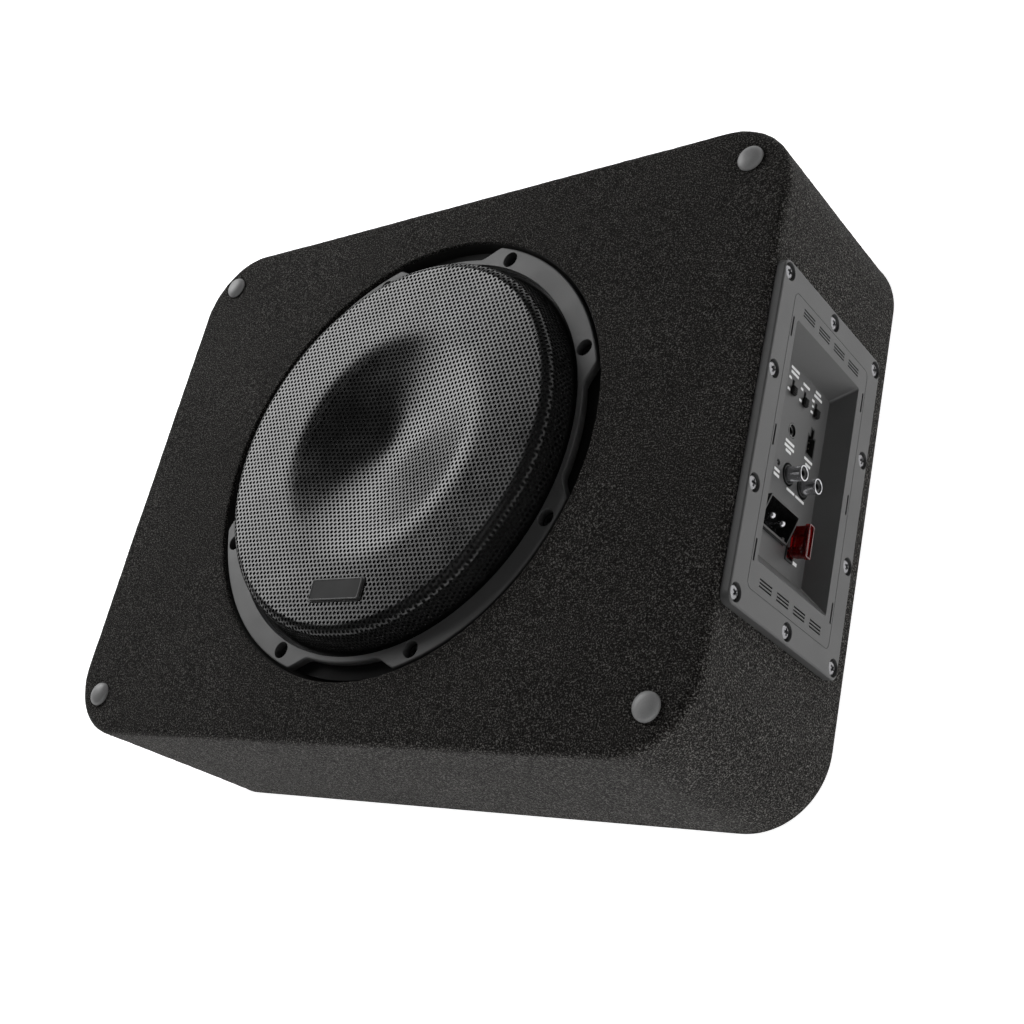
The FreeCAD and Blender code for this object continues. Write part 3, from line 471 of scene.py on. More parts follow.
def soft_plate(loops, low_w, high_w, place, edge, outlines=None, hole_edge=None):
    """A flat plate with holes whose upper edges are rounded by edge, followed by a narrow flat margin.

    hole_edge rounds the holes instead, where the plate is too narrow round them.
    outlines are simple polygons, as indices over all the loops' points, that tile the plate between them.
    """
    points, faces = [], []
    low_flat, high_flat = [], []
    lowest, highest = [], []
    for index, loop in enumerate(loops):
        inwards = -loop_normals(loop, index == 0)
        round_r = edge if index == 0 or hole_edge is None else hole_edge
        profile = [(0.0, low_w)]
        for turn in turns(0, 90, EDGE_POINTS):
            profile.append((round_r * (1 - math.cos(turn)), high_w - round_r * (1 - math.sin(turn))))
        profile.append((round_r * FLAT_MARGIN, high_w))
        size = len(loop)
        first = len(points)
        for inset, height in profile:
            drawn = [(u + nu * inset, v + nv * inset) for (u, v), (nu, nv) in zip(loop, inwards)]
            points += [place(u, v, height) for u, v in drawn]
        for row in range(len(profile) - 1):
            start = first + row * size
            faces += strip(range(start, start + size), range(start + size, start + 2 * size))
        low_flat += [Vector((u, v, 0.0)) for u, v in loop]
        high_flat += [Vector((u, v, 0.0)) for u, v in drawn]
        lowest += list(range(first, first + size))
        highest += list(range(first + (len(profile) - 1) * size, first + len(profile) * size))
    if outlines is None:
        ends = np.cumsum([0] + [len(loop) for loop in loops])
        areas = [[list(range(a, b)) for a, b in zip(ends, ends[1:])]]
    else:
        areas = [[outline] for outline in outlines]
    for rings in areas:
        order = [i for ring in rings for i in ring]
        for flat, level, way in ((low_flat, lowest, 1), (high_flat, highest, -1)):
            for tile in geometry.tessellate_polygon([[flat[i] for i in ring] for ring in rings]):
                faces.append(tuple(level[order[i]] for i in tile[::way]))
    return points, faces


def upright(u, v, w):
    """Places a plate that faces +Z."""
    return (u, v, w)


def on_end(u, v, w):
    """Places a plate that faces +X: u runs along Y, v along Z."""
    return (w, u, v)


def lying(u, v, w):
    """Places a plate that faces +Z, with u along Y and v along X."""
    return (v, u, w)


def bend(cu, cv, half_u, half_v, angles):
    """Points on an ellipse at the given angles."""
    return [(cu + half_u * math.cos(t), cv + half_v * math.sin(t)) for t in angles]


def arc_points(cu, cv, radius, start_deg, end_deg, steps):
    return bend(cu, cv, radius, radius, turns(start_deg, end_deg, steps + 1))


def circle(cu, cv, radius, steps=32):
    return arc_points(cu, cv, radius, 0, 360, steps)[:-1]


def rounded_rect(cu, cv, half_u, half_v, radius, steps=6):
    loop = []
    for index, (su, sv) in enumerate([(1, 1), (-1, 1), (-1, -1), (1, -1)]):
        loop += arc_points(cu + su * (half_u - radius), cv + sv * (half_v - radius), radius, 90 * index,
                           90 * index + 90, steps)
    return loop


def turned_mesh(outline, place, steps=48):
    """Points and faces of a turned solid.

    outline is a closed list of (radius, height), with radius 0 only at its ends.
    """
    points = []
    rows = []
    for radius, height in outline:
        if radius < 1e-6:
            rows.append([len(points)] * steps)
            points.append(place(0.0, 0.0, height))
            continue
        rows.append(list(range(len(points), len(points) + steps)))
        for turn in np.linspace(0, 2 * math.pi, steps, endpoint=False):
            points.append(place(radius * math.cos(turn), radius * math.sin(turn), height))
    closed = outline[0][0] > 1e-6
    faces = []
    for index in range(len(rows) if closed else len(rows) - 1):
        for quad in strip(rows[index], rows[(index + 1) % len(rows)]):
            faces.append(tuple(dict.fromkeys(quad)))
    return points, faces


def end_outline(node, inset, radius, steps=6):
    """A rounded rectangle in Y and Z, an inset smaller all round than a node's box."""
    lo, hi, mid = box_of(node)
    half = (hi - lo) / 2 - inset
    return rounded_rect(mid[1], mid[2], half[1], half[2], radius, steps)


def at(place, du, dv, dw=0.0):
    """The same placing, shifted."""
    return lambda u, v, w: place(u + du, v + dv, w + dw)


def merged(parts):
    """Several (points, faces) joined into one."""
    points, faces = [], []
    for more_points, more_faces in parts:
        base = len(points)
        points += list(more_points)
        faces += [tuple(i + base for i in face) for face in more_faces]
    return points, faces


def smooth_step(t):
    t = min(1.0, max(0.0, t))
    return t * t * (3 - 2 * t)


# ---- The carpet ----

FIRST_ROW_Z = 5.0        # the carpet's rows up the sides start here
ROW_STEP = 2.0
PILE_FROM_Z = 4.0        # below this the felt is flat and has no loose fibres
WINDOW_HALF_Y = 78.0     # the carpet stops here under the amplifier panel
WINDOW_HALF_Z = 44.0
PANEL_REACH = (88.5, 53.0)       # half sizes along Y and Z of what the panel covers
MEAN_DIP = 0.25          # holds the uneven felt close to the part's faces
FIBRE_POINTS = 7         # a fibre has a triangle at its root, one at its knee, and a tip


def plan_outline(half_x, half_y, radius):
    """Even points round the box's plan, with their outward normals."""
    loop = rounded_rect(0, 0, half_x, half_y, radius, 24)
    corners = np.array(loop + loop[:1])
    lengths = np.concatenate([[0], np.cumsum(np.linalg.norm(np.diff(corners, axis=0), axis=1))])
    count = int(round(lengths[-1] / ROW_STEP))
    walk = np.linspace(0, lengths[-1], count, endpoint=False)
    points = np.stack([np.interp(walk, lengths, corners[:, k]) for k in (0, 1)], 1)
    ahead = np.roll(points, -1, 0) - np.roll(points, 1, 0)
    normals = np.stack([ahead[:, 1], -ahead[:, 0]], 1)
    return points, normals / np.linalg.norm(normals, axis=1)[:, None]


def carpet_rows(plan, normals):
    """Rings of points: from the middle of the underside, up the sides, over the front edge, into the rebate.

    Each row is (points, kind): kind 1 is the visible skin and 0 the hidden side against the wood.
    """
    edge_r, back_r, hem_r = 5.0, 2.5, 1.2
    rows = []

    def ring(inset, z, kind=1):
        flat = plan - normals * inset
        rows.append((np.column_stack([flat, np.full(len(flat), z)]), kind))

    def towards_hole(share, z, inset, radius, kind=1):
        rim = plan - normals * inset
        hole = rim / np.linalg.norm(rim, axis=1)[:, None] * radius
        flat = rim + (hole - rim) * share
        rows.append((np.column_stack([flat, np.full(len(flat), z)]), kind))

    for share in (0.02, 0.2, 0.4, 0.6, 0.8, 0.94):
        rows.append((np.column_stack([plan * share, np.zeros(len(plan))]), 1))
    for turn in turns(0, 90, 4):
        ring(back_r * (1 - math.sin(turn)), back_r * (1 - math.cos(turn)))
    for z in np.arange(FIRST_ROW_Z, BOX_TOP - edge_r - 1, ROW_STEP):
        ring(0.0, z)
    for turn in turns(0, 90, 6):
        ring(edge_r * (1 - math.cos(turn)), BOX_TOP - edge_r * (1 - math.sin(turn)))
    for share in np.linspace(0, 1, 46)[1:]:
        towards_hole(share, BOX_TOP, edge_r, RECESS_R + hem_r)
    for turn in np.radians((30, 60, 90)):
        drop = hem_r * (1 - math.cos(turn))
        towards_hole(1, BOX_TOP - drop, edge_r, RECESS_R + hem_r * (1 - math.sin(turn)))
    towards_hole(1, BOX_TOP - CARPET_T, edge_r, RECESS_R)
    for share in (0.66, 0.33, 0.0):
        towards_hole(share, BOX_TOP - CARPET_T, CARPET_T, RECESS_R, 0)
    for z in window_heights()[::-1]:
        ring(CARPET_T, z, 0)
    ring(CARPET_T, CARPET_T, 0)
    for share in (0.6, 0.02):
        inner = (plan - normals * CARPET_T) * share
        rows.append((np.column_stack([inner, np.full(len(plan), CARPET_T)]), 0))
    return rows


def window_heights():
    """Heights of the two carpet rows that bound the hole under the panel."""
    low_z = FIRST_ROW_Z + ROW_STEP * round((PANEL_MID[2] - WINDOW_HALF_Z - FIRST_ROW_Z) / ROW_STEP)
    return low_z, low_z + ROW_STEP * round(2 * WINDOW_HALF_Z / ROW_STEP)


def carpet_lift(point):
    """Unevenness of the felt, in millimetres: slow waves from the glue and small matted lumps."""
    wave_mm, wave_height, lump_mm, lump_height = 38.0, 0.22, 4.2, 0.16
    slow = noise.noise(Vector(point) / wave_mm)
    lumps = noise.noise(Vector(point) / lump_mm)
    return wave_height * slow + lump_height * lumps


def carpet():
    plan, normals = plan_outline(BOX_HALF_X, BOX_HALF_Y, CORNER_R)
    rows = carpet_rows(plan, normals)
    count = len(plan)
    points = np.concatenate([row for row, kind in rows])
    kinds = np.repeat([kind for row, kind in rows], count)
    low_z, high_z = window_heights()
    beside = (plan[:, 0] > BOX_HALF_X - 0.01) & (abs(plan[:, 1] - PANEL_MID[1]) <= WINDOW_HALF_Y)
    faces = []
    for r in range(len(rows) - 1):
        mid_z = (rows[r][0][0, 2] + rows[r + 1][0][0, 2]) / 2
        steep = abs(rows[r][0][0, 2] - rows[r + 1][0][0, 2]) > 1e-6
        in_window = steep and low_z < mid_z < high_z
        quads = strip(range(r * count, (r + 1) * count), range((r + 1) * count, (r + 2) * count))
        faces += [quad for i, quad in enumerate(quads)
                  if not (in_window and beside[i] and beside[(i + 1) % count])]
    faces.append(tuple(range(count)))
    faces.append(tuple(range((len(rows) - 1) * count, len(rows) * count)))
    work = bmesh.new()
    shown = work.verts.layers.int.new("pile")
    verts = [work.verts.new(p) for p in points.tolist()]
    for face in faces:
        work.faces.new([verts[i] for i in face])
    bmesh.ops.recalc_face_normals(work, faces=work.faces)
    close_window(work)
    work.normal_update()
    for vert, kind in zip(verts, kinds):
        loose = kind == 1 and vert.co.z > PILE_FROM_Z
        vert[shown] = int(loose and not on_panel_side(vert.co, *PANEL_REACH))
        if loose and not on_panel_side(vert.co, WINDOW_HALF_Y + 6, WINDOW_HALF_Z + 6):
            vert.co += vert.normal * (carpet_lift(vert.co) - MEAN_DIP)
            vert.co.z -= cap_dimple(vert.co)
    mesh = bpy.data.meshes.new("carpet_wrap")
    work.to_mesh(mesh)
    work.free()
    mesh.transform(Matrix.Scale(MM, 4))
    finish_piece(placed("carpet_wrap", mesh), "carpet", CABINET, ["carpet_cover", "carpet_back"], 80.0)


def on_panel_side(point, reach_y, reach_z):
    return (point.x > BOX_HALF_X - 3 and abs(point.y - PANEL_MID[1]) < reach_y
            and abs(point.z - PANEL_MID[2]) < reach_z)


def close_window(work):
    """Join the outer and the inner skin all round the hole under the panel."""
    rim = [edge for edge in work.edges if len(edge.link_faces) == 1]
    bmesh.ops.bridge_loops(work, edges=rim)


def cap_reach():
    """How far the caps' centres are from the middle of the box, along X and Y."""
    return high("screw_caps")[0] - CAP_R, high("screw_caps")[1] - CAP_R


def cap_dimple(point):
    """How far the caps press the pile down round themselves."""
    reach_x, reach_y = cap_reach()
    away = math.hypot(abs(point.x) - reach_x, abs(point.y) - reach_y)
    deep, reach = 0.9, 2.6
    return deep * math.exp(-((away - CAP_R) / reach) ** 2) if point.z > BOX_TOP - 3 else 0.0


def pile(name, count, long_mm, thick_mm, lift):
    """Loose fibre ends that stand out of the felt: bent, tapered hairs scattered evenly over the skin."""
    mesh = bpy.data.objects["carpet_wrap"].data
    mesh.calc_loop_triangles()
    corners = np.zeros(len(mesh.vertices) * 3)
    mesh.vertices.foreach_get("co", corners)
    corners = corners.reshape(-1, 3) / MM
    tiles = np.zeros(len(mesh.loop_triangles) * 3, int)
    mesh.loop_triangles.foreach_get("vertices", tiles)
    tiles = tiles.reshape(-1, 3)
    a, b, c = (corners[tiles[:, k]] for k in range(3))
    cross = np.cross(b - a, c - a)
    area = np.linalg.norm(cross, axis=1) / 2
    normal = cross / np.maximum(2 * area, 1e-9)[:, None]
    flags = np.zeros(len(mesh.vertices), int)
    mesh.attributes["pile"].data.foreach_get("value", flags)
    weight = area * (flags[tiles].min(axis=1) > 0)
    chosen = SPRINKLE.choice(len(tiles), count, p=weight / weight.sum())
    share = SPRINKLE.random((count, 2))
    fold = share.sum(1) > 1
    share[fold] = 1 - share[fold]
    root = a[chosen] + (b - a)[chosen] * share[:, :1] + (c - a)[chosen] * share[:, 1:]
    up = normal[chosen]
    spin = SPRINKLE.normal(size=(count, 3))
    along = spin - np.sum(spin * up, 1)[:, None] * up
    along /= np.linalg.norm(along, axis=1)[:, None]
    side = np.cross(up, along)
    length = long_mm * SPRINKLE.uniform(0.5, 1.3, count)[:, None]
    rise = lift * SPRINKLE.uniform(0.25, 1.0, count)[:, None]
    curl, knee_share, knee_curl, knee_thin, root_depth = 0.35, 0.5, 0.4, 0.8, 0.15
    swerve = side * SPRINKLE.normal(size=(count, 1)) * curl
    knee = root + along * length * knee_share + up * rise + swerve * length * knee_curl
    tip = root + along * length + up * rise * SPRINKLE.uniform(0.2, 1.4, (count, 1)) + swerve * length
    root = root - up * root_depth
    half = thick_mm / 2
    rows = []
    for place, size in ((root, half), (knee, half * knee_thin)):
        for turn in (90, 210, 330):
            t = math.radians(turn)
            rows.append(place + side * size * math.cos(t) + up * size * math.sin(t))
    rows.append(tip)
    points = np.stack(rows, 1).reshape(-1, 3)
    shape = [(0, 1, 4, 3), (1, 2, 5, 4), (2, 0, 3, 5), (3, 4, 6), (4, 5, 6), (5, 3, 6), (2, 1, 0)]
    first = np.arange(count) * FIBRE_POINTS
    faces = [tuple(int(v) + k for k in part) for v in first for part in shape]
    piece(name, points, faces, "carpet", smooth_deg=180.0)


# ---- The grille ----

DISH_R = 68.0
DISH_SLOPE = 0.21
DISH_NOSE_R = 14.0
DISH_EASE = 0.6          # softens the dish's rim
SHOULDER_R = 6.0
FACE_R = 110.3
FOOT_R = high("grille")[0] - 4.2
FOOT_Z = FLANGE_TOP + 2.2
SHEET_T = 0.9
MIDDLE_R = 82.0          # the sheet is two meshes, which meet on its flat face
HOLE_POINTS = 8
CELL_CORNERS = 6
HEM_POINTS = 300


def dish_depth(radius):
    """Depth of the dished middle: a shallow cone with a rounded nose and an eased rim."""
    cone = DISH_SLOPE * (DISH_R - math.hypot(radius, DISH_NOSE_R) + 1.0)
    return DISH_EASE * math.log1p(math.exp(cone / DISH_EASE))


def grille_profile(reach):
    """(radius, z) at a distance along the sheet from the centre."""
    if reach <= FACE_R:
        return reach, GRILLE_TOP - dish_depth(reach)
    arc = SHOULDER_R * math.pi / 2
    if reach <= FACE_R + arc:
        turn = (reach - FACE_R) / SHOULDER_R
        return FACE_R + SHOULDER_R * math.sin(turn), GRILLE_TOP - SHOULDER_R * (1 - math.cos(turn))
    start = (FACE_R + SHOULDER_R, GRILLE_TOP - SHOULDER_R)
    end = (FOOT_R, FOOT_Z)
    share = (reach - FACE_R - arc) / WALL_LENGTH
    return start[0] + (end[0] - start[0]) * share, start[1] + (end[1] - start[1]) * share


WALL_LENGTH = math.hypot(FOOT_R - FACE_R - SHOULDER_R, GRILLE_TOP - SHOULDER_R - FOOT_Z)
FULL_REACH = FACE_R + SHOULDER_R * math.pi / 2 + WALL_LENGTH


class Lattice:
    """Flat points and faces that share corners, so that neighbouring cells are joined."""

    def __init__(self):
        self.points = []
        self.index = {}
        self.faces = []
        self.middle = set()

    def corner(self, u, v):
        key = (round(u * 200), round(v * 200))
        if key not in self.index:
            self.index[key] = len(self.points)
            self.points.append((u, v))
        return self.index[key]

    def holed_cell(self, corners, hole):
        """Tiles a cell between its corners and its round hole, going round both together."""
        outer = [self.corner(*p) for p in corners]
        inner = [self.corner(*p) for p in hole]
        i = j = 0
        while i < CELL_CORNERS or j < HOLE_POINTS:
            here, edge = outer[i % CELL_CORNERS], inner[j % HOLE_POINTS]
            if (j + 1) * CELL_CORNERS <= (i + 1) * HOLE_POINTS:
                j += 1
                self.faces.append((here, inner[j % HOLE_POINTS], edge))
            else:
                i += 1
                self.faces.append((here, outer[i % CELL_CORNERS], edge))


def around(points, start_deg=30.0):
    """Evenly spread angles for one turn."""
    return np.radians(start_deg + np.arange(points) * 360.0 / points)


def hex_cell(cu, cv):
    """The corners of the cell round one hole, and the hole, both anticlockwise."""
    shapes = ((PITCH / math.sqrt(3), CELL_CORNERS), (HOLE_R, HOLE_POINTS))
    return [bend(cu, cv, radius, radius, around(count)) for radius, count in shapes]


def sheet_cells(lattice, limit):
    """The perforated sheet before it was pressed: staggered holes, in rows along X."""
    row_step = PITCH * math.sqrt(3) / 2
    rows = int(limit / row_step) + 1
    for row in range(-rows, rows + 1):
        shift = PITCH / 2 if row % 2 else 0.0
        for column in range(-rows, rows + 1):
            u, v = column * PITCH + shift, row * row_step
            reach = math.hypot(u, v)
            if reach < limit:
                before = len(lattice.faces)
                lattice.holed_cell(*hex_cell(u, v))
                if reach < MIDDLE_R:
                    lattice.middle.update(range(before, len(lattice.faces)))


def outer_loop(lattice):
    """The chain of points round the outside of the perforated cells."""
    ways = set()
    for face in lattice.faces:
        ways.update(zip(face, face[1:] + face[:1]))
    following = {b: a for a, b in ways if (b, a) not in ways}
    start = max(following, key=lambda i: math.hypot(*lattice.points[i]))
    loop = [start]
    here = following[start]
    while here != start:
        loop.append(here)
        here = following[here]
    return loop


def fill_between(lattice, outer, inner):
    """Tiles the plain strip between two of the lattice's loops."""
    rings = [[Vector((*lattice.points[i], 0.0)) for i in loop] for loop in (outer, inner)]
    flat = list(outer) + list(inner)
    for tile in geometry.tessellate_polygon(rings):
        lattice.faces.append(tuple(flat[i] for i in tile))


def grille():
    """One perforated sheet, pressed to a dish with a rounded shoulder, a wall and a turned-out foot."""
    lattice = Lattice()
    sheet_cells(lattice, FULL_REACH - 3.2)
    edge = outer_loop(lattice)
    hem = [lattice.corner(u, v) for u, v in circle(0, 0, FULL_REACH - 0.8, HEM_POINTS)]
    fill_between(lattice, hem, edge)
    points = []
    for u, v in lattice.points:
        reach = math.hypot(u, v)
        radius, z = grille_profile(reach)
        share = radius / reach if reach > 1e-6 else 0.0
        points.append((u * share, v * share, z))
    faces = list(lattice.faces)
    rows = [hem]
    for radius, z in ((FOOT_R, FOOT_Z), (FOOT_R + 0.5, FLANGE_TOP + 1.25),
                      (FOOT_R + 1.4, FLANGE_TOP + SHEET_T), (high("grille")[0] - 0.1, FLANGE_TOP + SHEET_T)):
        rows.append(list(range(len(points), len(points) + HEM_POINTS)))
        points += [(x, y, z) for x, y in circle(0, 0, radius, HEM_POINTS)]
    for inner, outer in zip(rows, rows[1:]):
        faces += strip(inner, outer)
    middle = [face for i, face in enumerate(faces) if i in lattice.middle]
    outside = [face for i, face in enumerate(faces) if i not in lattice.middle]
    for name, part in (("grille_dish", middle), ("grille_rim", outside)):
        pressed_sheet(name, points, part)


def pressed_sheet(name, points, faces):
    """A piece of the steel sheet, given its thickness."""
    used = sorted({i for face in faces for i in face})
    place = {old: new for new, old in enumerate(used)}
    faces = [tuple(place[i] for i in face) for face in faces]
    obj = piece(name, [points[i] for i in used], faces, "grille_steel", replaces=["grille"], smooth_deg=50.0)
    if obj.data.polygons[0].normal.z < 0:
        obj.data.flip_normals()
    apply_modifier(obj, "SOLIDIFY", thickness=SHEET_T * MM, offset=-1.0, use_even_offset=False)
    shade(obj, 50.0)


def badge():
    """A blank name plate: a black base with a raised grey plate on it."""
    border, sunk = 0.7, 0.25
    lo, hi, mid = box_of("badge_base")
    half = (hi - lo) / 2
    loop = rounded_rect(mid[0], mid[1], half[0], half[1], 1.6)
    piece("badge_seat", *soft_plate([loop], lo[2], hi[2], upright, 0.4), "soft_black",
          replaces=["badge_base"])
    lo, hi, mid = box_of("badge_plate")
    half = (hi - lo) / 2
    loop = rounded_rect(mid[0], mid[1], half[0], half[1], 1.2)
    field = rounded_rect(mid[0], mid[1], half[0] - border, half[1] - border, 0.8)
    piece("badge_border", *soft_plate([loop, field], lo[2], hi[2], upright, 0.2), "ring_grey",
          replaces=["badge_plate"])
    piece("badge_blank", *soft_plate([field], lo[2], hi[2] - sunk, upright, 0.1), "badge_grey",
          replaces=["badge_plate"])


# ---- The trim ring ----

NOTCH_BAND_R = 126.0
NOTCH_OUT_DEG = 16.7
NOTCH_IN_DEG = 12.8
RING_POINTS = 720
SECTORS = 8
SCREW_CIRCLE_R = 128.3
ACCESS_R = 4.8           # of the holes over the screws
ACCESS_POINTS = 32


def ring_radius(angle_deg):
    """Outer radius of the trim ring, with a notch on each axis whose ends ease in and out."""
    off = abs((angle_deg + 45) % 90 - 45)
    ease_from, ease_to = NOTCH_IN_DEG - 1.2, NOTCH_OUT_DEG + 0.5
    share = min(1.0, max(0.0, (off - ease_from) / (ease_to - ease_from)))
    return NOTCH_BAND_R + (RING_R - NOTCH_BAND_R) * (0.35 * smooth_step(share) + 0.65 * share ** 1.5)


def trim_ring():
    """The ring, tiled in eight sectors that run from the middle of one screw hole to the next."""
    angles = around(RING_POINTS, 0.0)
    outer = [(ring_radius(math.degrees(t)) * math.cos(t), ring_radius(math.degrees(t)) * math.sin(t))
             for t in angles]
    inner_r = high("grille")[0] - 1.2
    loops = [outer, bend(0, 0, inner_r, inner_r, angles)]
    for u, v in screw_places():
        outwards = math.degrees(math.atan2(v, u))
        loops.append(arc_points(u, v, ACCESS_R, outwards, outwards + 360, ACCESS_POINTS)[:-1])
    per_sector = RING_POINTS // SECTORS
    half_hole = ACCESS_POINTS // 2
    outlines = []
    for index in range(SECTORS):
        start = per_sector // 2 + per_sector * index
        along = [(start + i) % RING_POINTS for i in range(per_sector + 1)]
        here = 2 * RING_POINTS + ACCESS_POINTS * index
        there = 2 * RING_POINTS + ACCESS_POINTS * ((index + 1) % SECTORS)
        far_side = [there + (ACCESS_POINTS - i) % ACCESS_POINTS for i in range(half_hole + 1)]
        near_side = [here + half_hole - i for i in range(half_hole + 1)]
        outlines.append(along + far_side + [RING_POINTS + i for i in reversed(along)] + near_side)
    plate = soft_plate(loops, FLANGE_TOP + 1.0, RING_TOP, upright, 0.8, outlines=outlines, hole_edge=0.25)
    piece("ring_moulding", *plate, "ring_grey", replaces=["trim_ring"], smooth_deg=40.0)


def screw_places():
    """Centres of the driver's screws, which fall between the ring's notches."""
    return bend(0, 0, SCREW_CIRCLE_R, SCREW_CIRCLE_R, around(SECTORS, 180.0 / SECTORS))


# ---- Screws and caps ----

def cut_away(obj, cutter):
    """Take the cutter's shape out of obj and drop the cutter."""
    apply_modifier(obj, "BOOLEAN", object=cutter, operation="DIFFERENCE", solver="EXACT")
    bpy.data.objects.remove(cutter)


def loose_piece(name, points, faces):
    """A helper shape that isn't kept."""
    mesh = bpy.data.meshes.new(name)
    mesh.from_pydata((np.asarray(points, float) * MM).tolist(), [], faces)
    face_outwards(mesh)
    return placed(name, mesh)


def cross_cutter(length, width, deep, top):
    """A Phillips recess: two crossed wedges that narrow towards the bottom."""
    end_share, side_share = 0.35, 0.6
    parts = []
    for turn in (0, 90):
        c, s = math.cos(math.radians(turn)), math.sin(math.radians(turn))
        points = []
        for w, half_l, half_w in ((top - deep, length * end_share, width * side_share),
                                  (top + 1.0, length, width)):
            for du, dv in ((-half_l, -half_w), (half_l, -half_w), (half_l, half_w), (-half_l, half_w)):
                points.append((du * c - dv * s, du * s + dv * c, w))
        faces = [(3, 2, 1, 0), (4, 5, 6, 7), (0, 1, 5, 4), (1, 2, 6, 5), (2, 3, 7, 6), (3, 0, 4, 7)]
        parts.append((points, faces))
    return parts


def pan_head(radius, height):
    """One pan-head screw head that faces +Z from z = 0, as points and faces in millimetres."""
    side_share, fullness = 0.3, 0.8
    dome = [(0.0, 0.0), (radius - 0.15, 0.0), (radius, 0.2), (radius, height * side_share)]
    for turn in turns(10, 80, 7):
        rise = side_share + (1 - side_share) * math.sin(turn)
        dome.append((radius * math.cos(turn) ** fullness, height * rise))
    dome.append((0.0, height))
    head = loose_piece("head", *turned_mesh(dome, upright, 40))
    for cross in cross_cutter(radius * 0.62, radius * 0.2, height * 0.75, height):
        cut_away(head, loose_piece("cross", *cross))
    points = [tuple(v.co / MM) for v in head.data.vertices]
    faces = [tuple(p.vertices) for p in head.data.polygons]
    bpy.data.objects.remove(head)
    return points, faces


def turned_to_x(point, y, z, x0, spin):
    """A point of a shape that faces +Z, turned to face +X at (x0, y, z)."""
    u, v, w = point
    c, s = math.cos(spin), math.sin(spin)
    return (x0 + w, y + u * c - v * s, z + u * s + v * c)


def panel_screws():
    points, faces = pan_head(4.0, 2.7)
    seat = PANEL_FACE - 3.0
    far_y, near_y, far_z = 84.05, 29.95, 49.3
    parts = []
    for dz in (-far_z, 0.0, far_z):
        for dy in (-far_y, far_y) if dz == 0 else (-far_y, -near_y, near_y, far_y):
            spin = random.uniform(0, math.pi / 2)
            place = [turned_to_x(p, PANEL_MID[1] + dy, PANEL_MID[2] + dz, seat, spin) for p in points]
            parts.append((place, faces))
    piece("panel_screw_heads", *merged(parts), "bright_steel", replaces=["panel_screws"])


def driver_screws():
    points, faces = pan_head(4.1, 2.8)
    parts = []
    for u, v in screw_places():
        spin = random.uniform(0, math.pi / 2)
        c, s = math.cos(spin), math.sin(spin)
        place = [(u + x * c - y * s, v + x * s + y * c, FLANGE_TOP + z) for x, y, z in points]
        parts.append((place, faces))
    piece("driver_screw_heads", *merged(parts), "dark_steel", replaces=["driver_screws"])


def screw_caps():
    """Domed caps with a soft rounded edge, pressed into the carpet."""
    rise = high("screw_caps")[2] - BOX_TOP
    reach_x, reach_y = cap_reach()
    stem_r, stem_z, under_z, edge_z = 4.0, -2.2, -0.8, -0.3
    outline = [(0.0, stem_z), (stem_r, stem_z), (stem_r, under_z), (CAP_R - 0.4, under_z), (CAP_R, edge_z)]
    for turn in turns(8, 86, 12):
        outline.append((CAP_R * math.cos(turn) ** 0.82, rise * math.sin(turn) ** 0.95))
    outline.append((0.0, rise))
    parts = []
    for sx in (-1, 1):
        for sy in (-1, 1):
            parts.append(turned_mesh(outline, at(upright, sx * reach_x, sy * reach_y, BOX_TOP), 56))
    piece("cap_domes", *merged(parts), "cap_grey", replaces=["screw_caps"])


# ---- The driver behind the grille ----

ROLL_MID_R = 102.5
ROLL_R = 8.5
ROLL_T = 1.1
CONE_EDGE_R = 94.0
SPIDER_INNER_WAVE_R = 28.0
SPIDER_OUTER_WAVE_R = 60.0


def surround():
    """Half-roll rubber surround with fine moulded ribs at its feet, from the cone's edge to the chassis."""
    top = [(87.0, 1.2), (CONE_EDGE_R - 1.0, 1.3)]
    for turn in turns(172, 8, 22):
        top.append((ROLL_MID_R + ROLL_R * math.cos(turn), max(1.0, ROLL_R * math.sin(turn))))
    top += [(112.5, 1.3), (113.2, 1.7), (114.0, 1.3), (118.0, 1.2)]
    under = [(117.9, 0.05)]
    for turn in turns(2, 178, 22):
        under_r = ROLL_R - ROLL_T
        under.append((ROLL_MID_R + under_r * math.cos(turn), max(0.05, under_r * math.sin(turn))))
    under.append((87.1, 0.05))
    obj = piece("surround_roll", *turned_mesh(top + under, at(upright, 0, 0, FLANGE_TOP), 144), "roll_rubber",
                body=None, replaces=["surround"], smooth_deg=50.0)
    hang(obj)


def spider():
    """Corrugated cloth spider between the voice coil and the chassis ledge."""
    inner_r, outer_r, step = high("coil_former")[0], 68.0, 0.8
    wave_length, wave_height, cloth_t, ease = 6.4, 1.4, 0.6, 3
    upper, lower = [], []
    for radius in np.arange(inner_r, outer_r + 0.01, step):
        past = radius - SPIDER_INNER_WAVE_R
        eased = smooth_step(past / ease) * smooth_step((SPIDER_OUTER_WAVE_R - radius) / ease)
        wave = wave_height + wave_height * math.sin(past * 2 * math.pi / wave_length) * eased
        upper.append((radius, wave + cloth_t))
        lower.append((radius, wave))
    disc = turned_mesh(upper + lower[::-1], at(upright, 0, 0, low("spider")[2]), 96)
    obj = piece("spider_cloth_disc", *disc, "spider_cloth", None, ["spider"], 80.0)
    hang(obj)


def hang(obj):
    """Bake a ring's placement into its mesh."""
    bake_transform(obj)


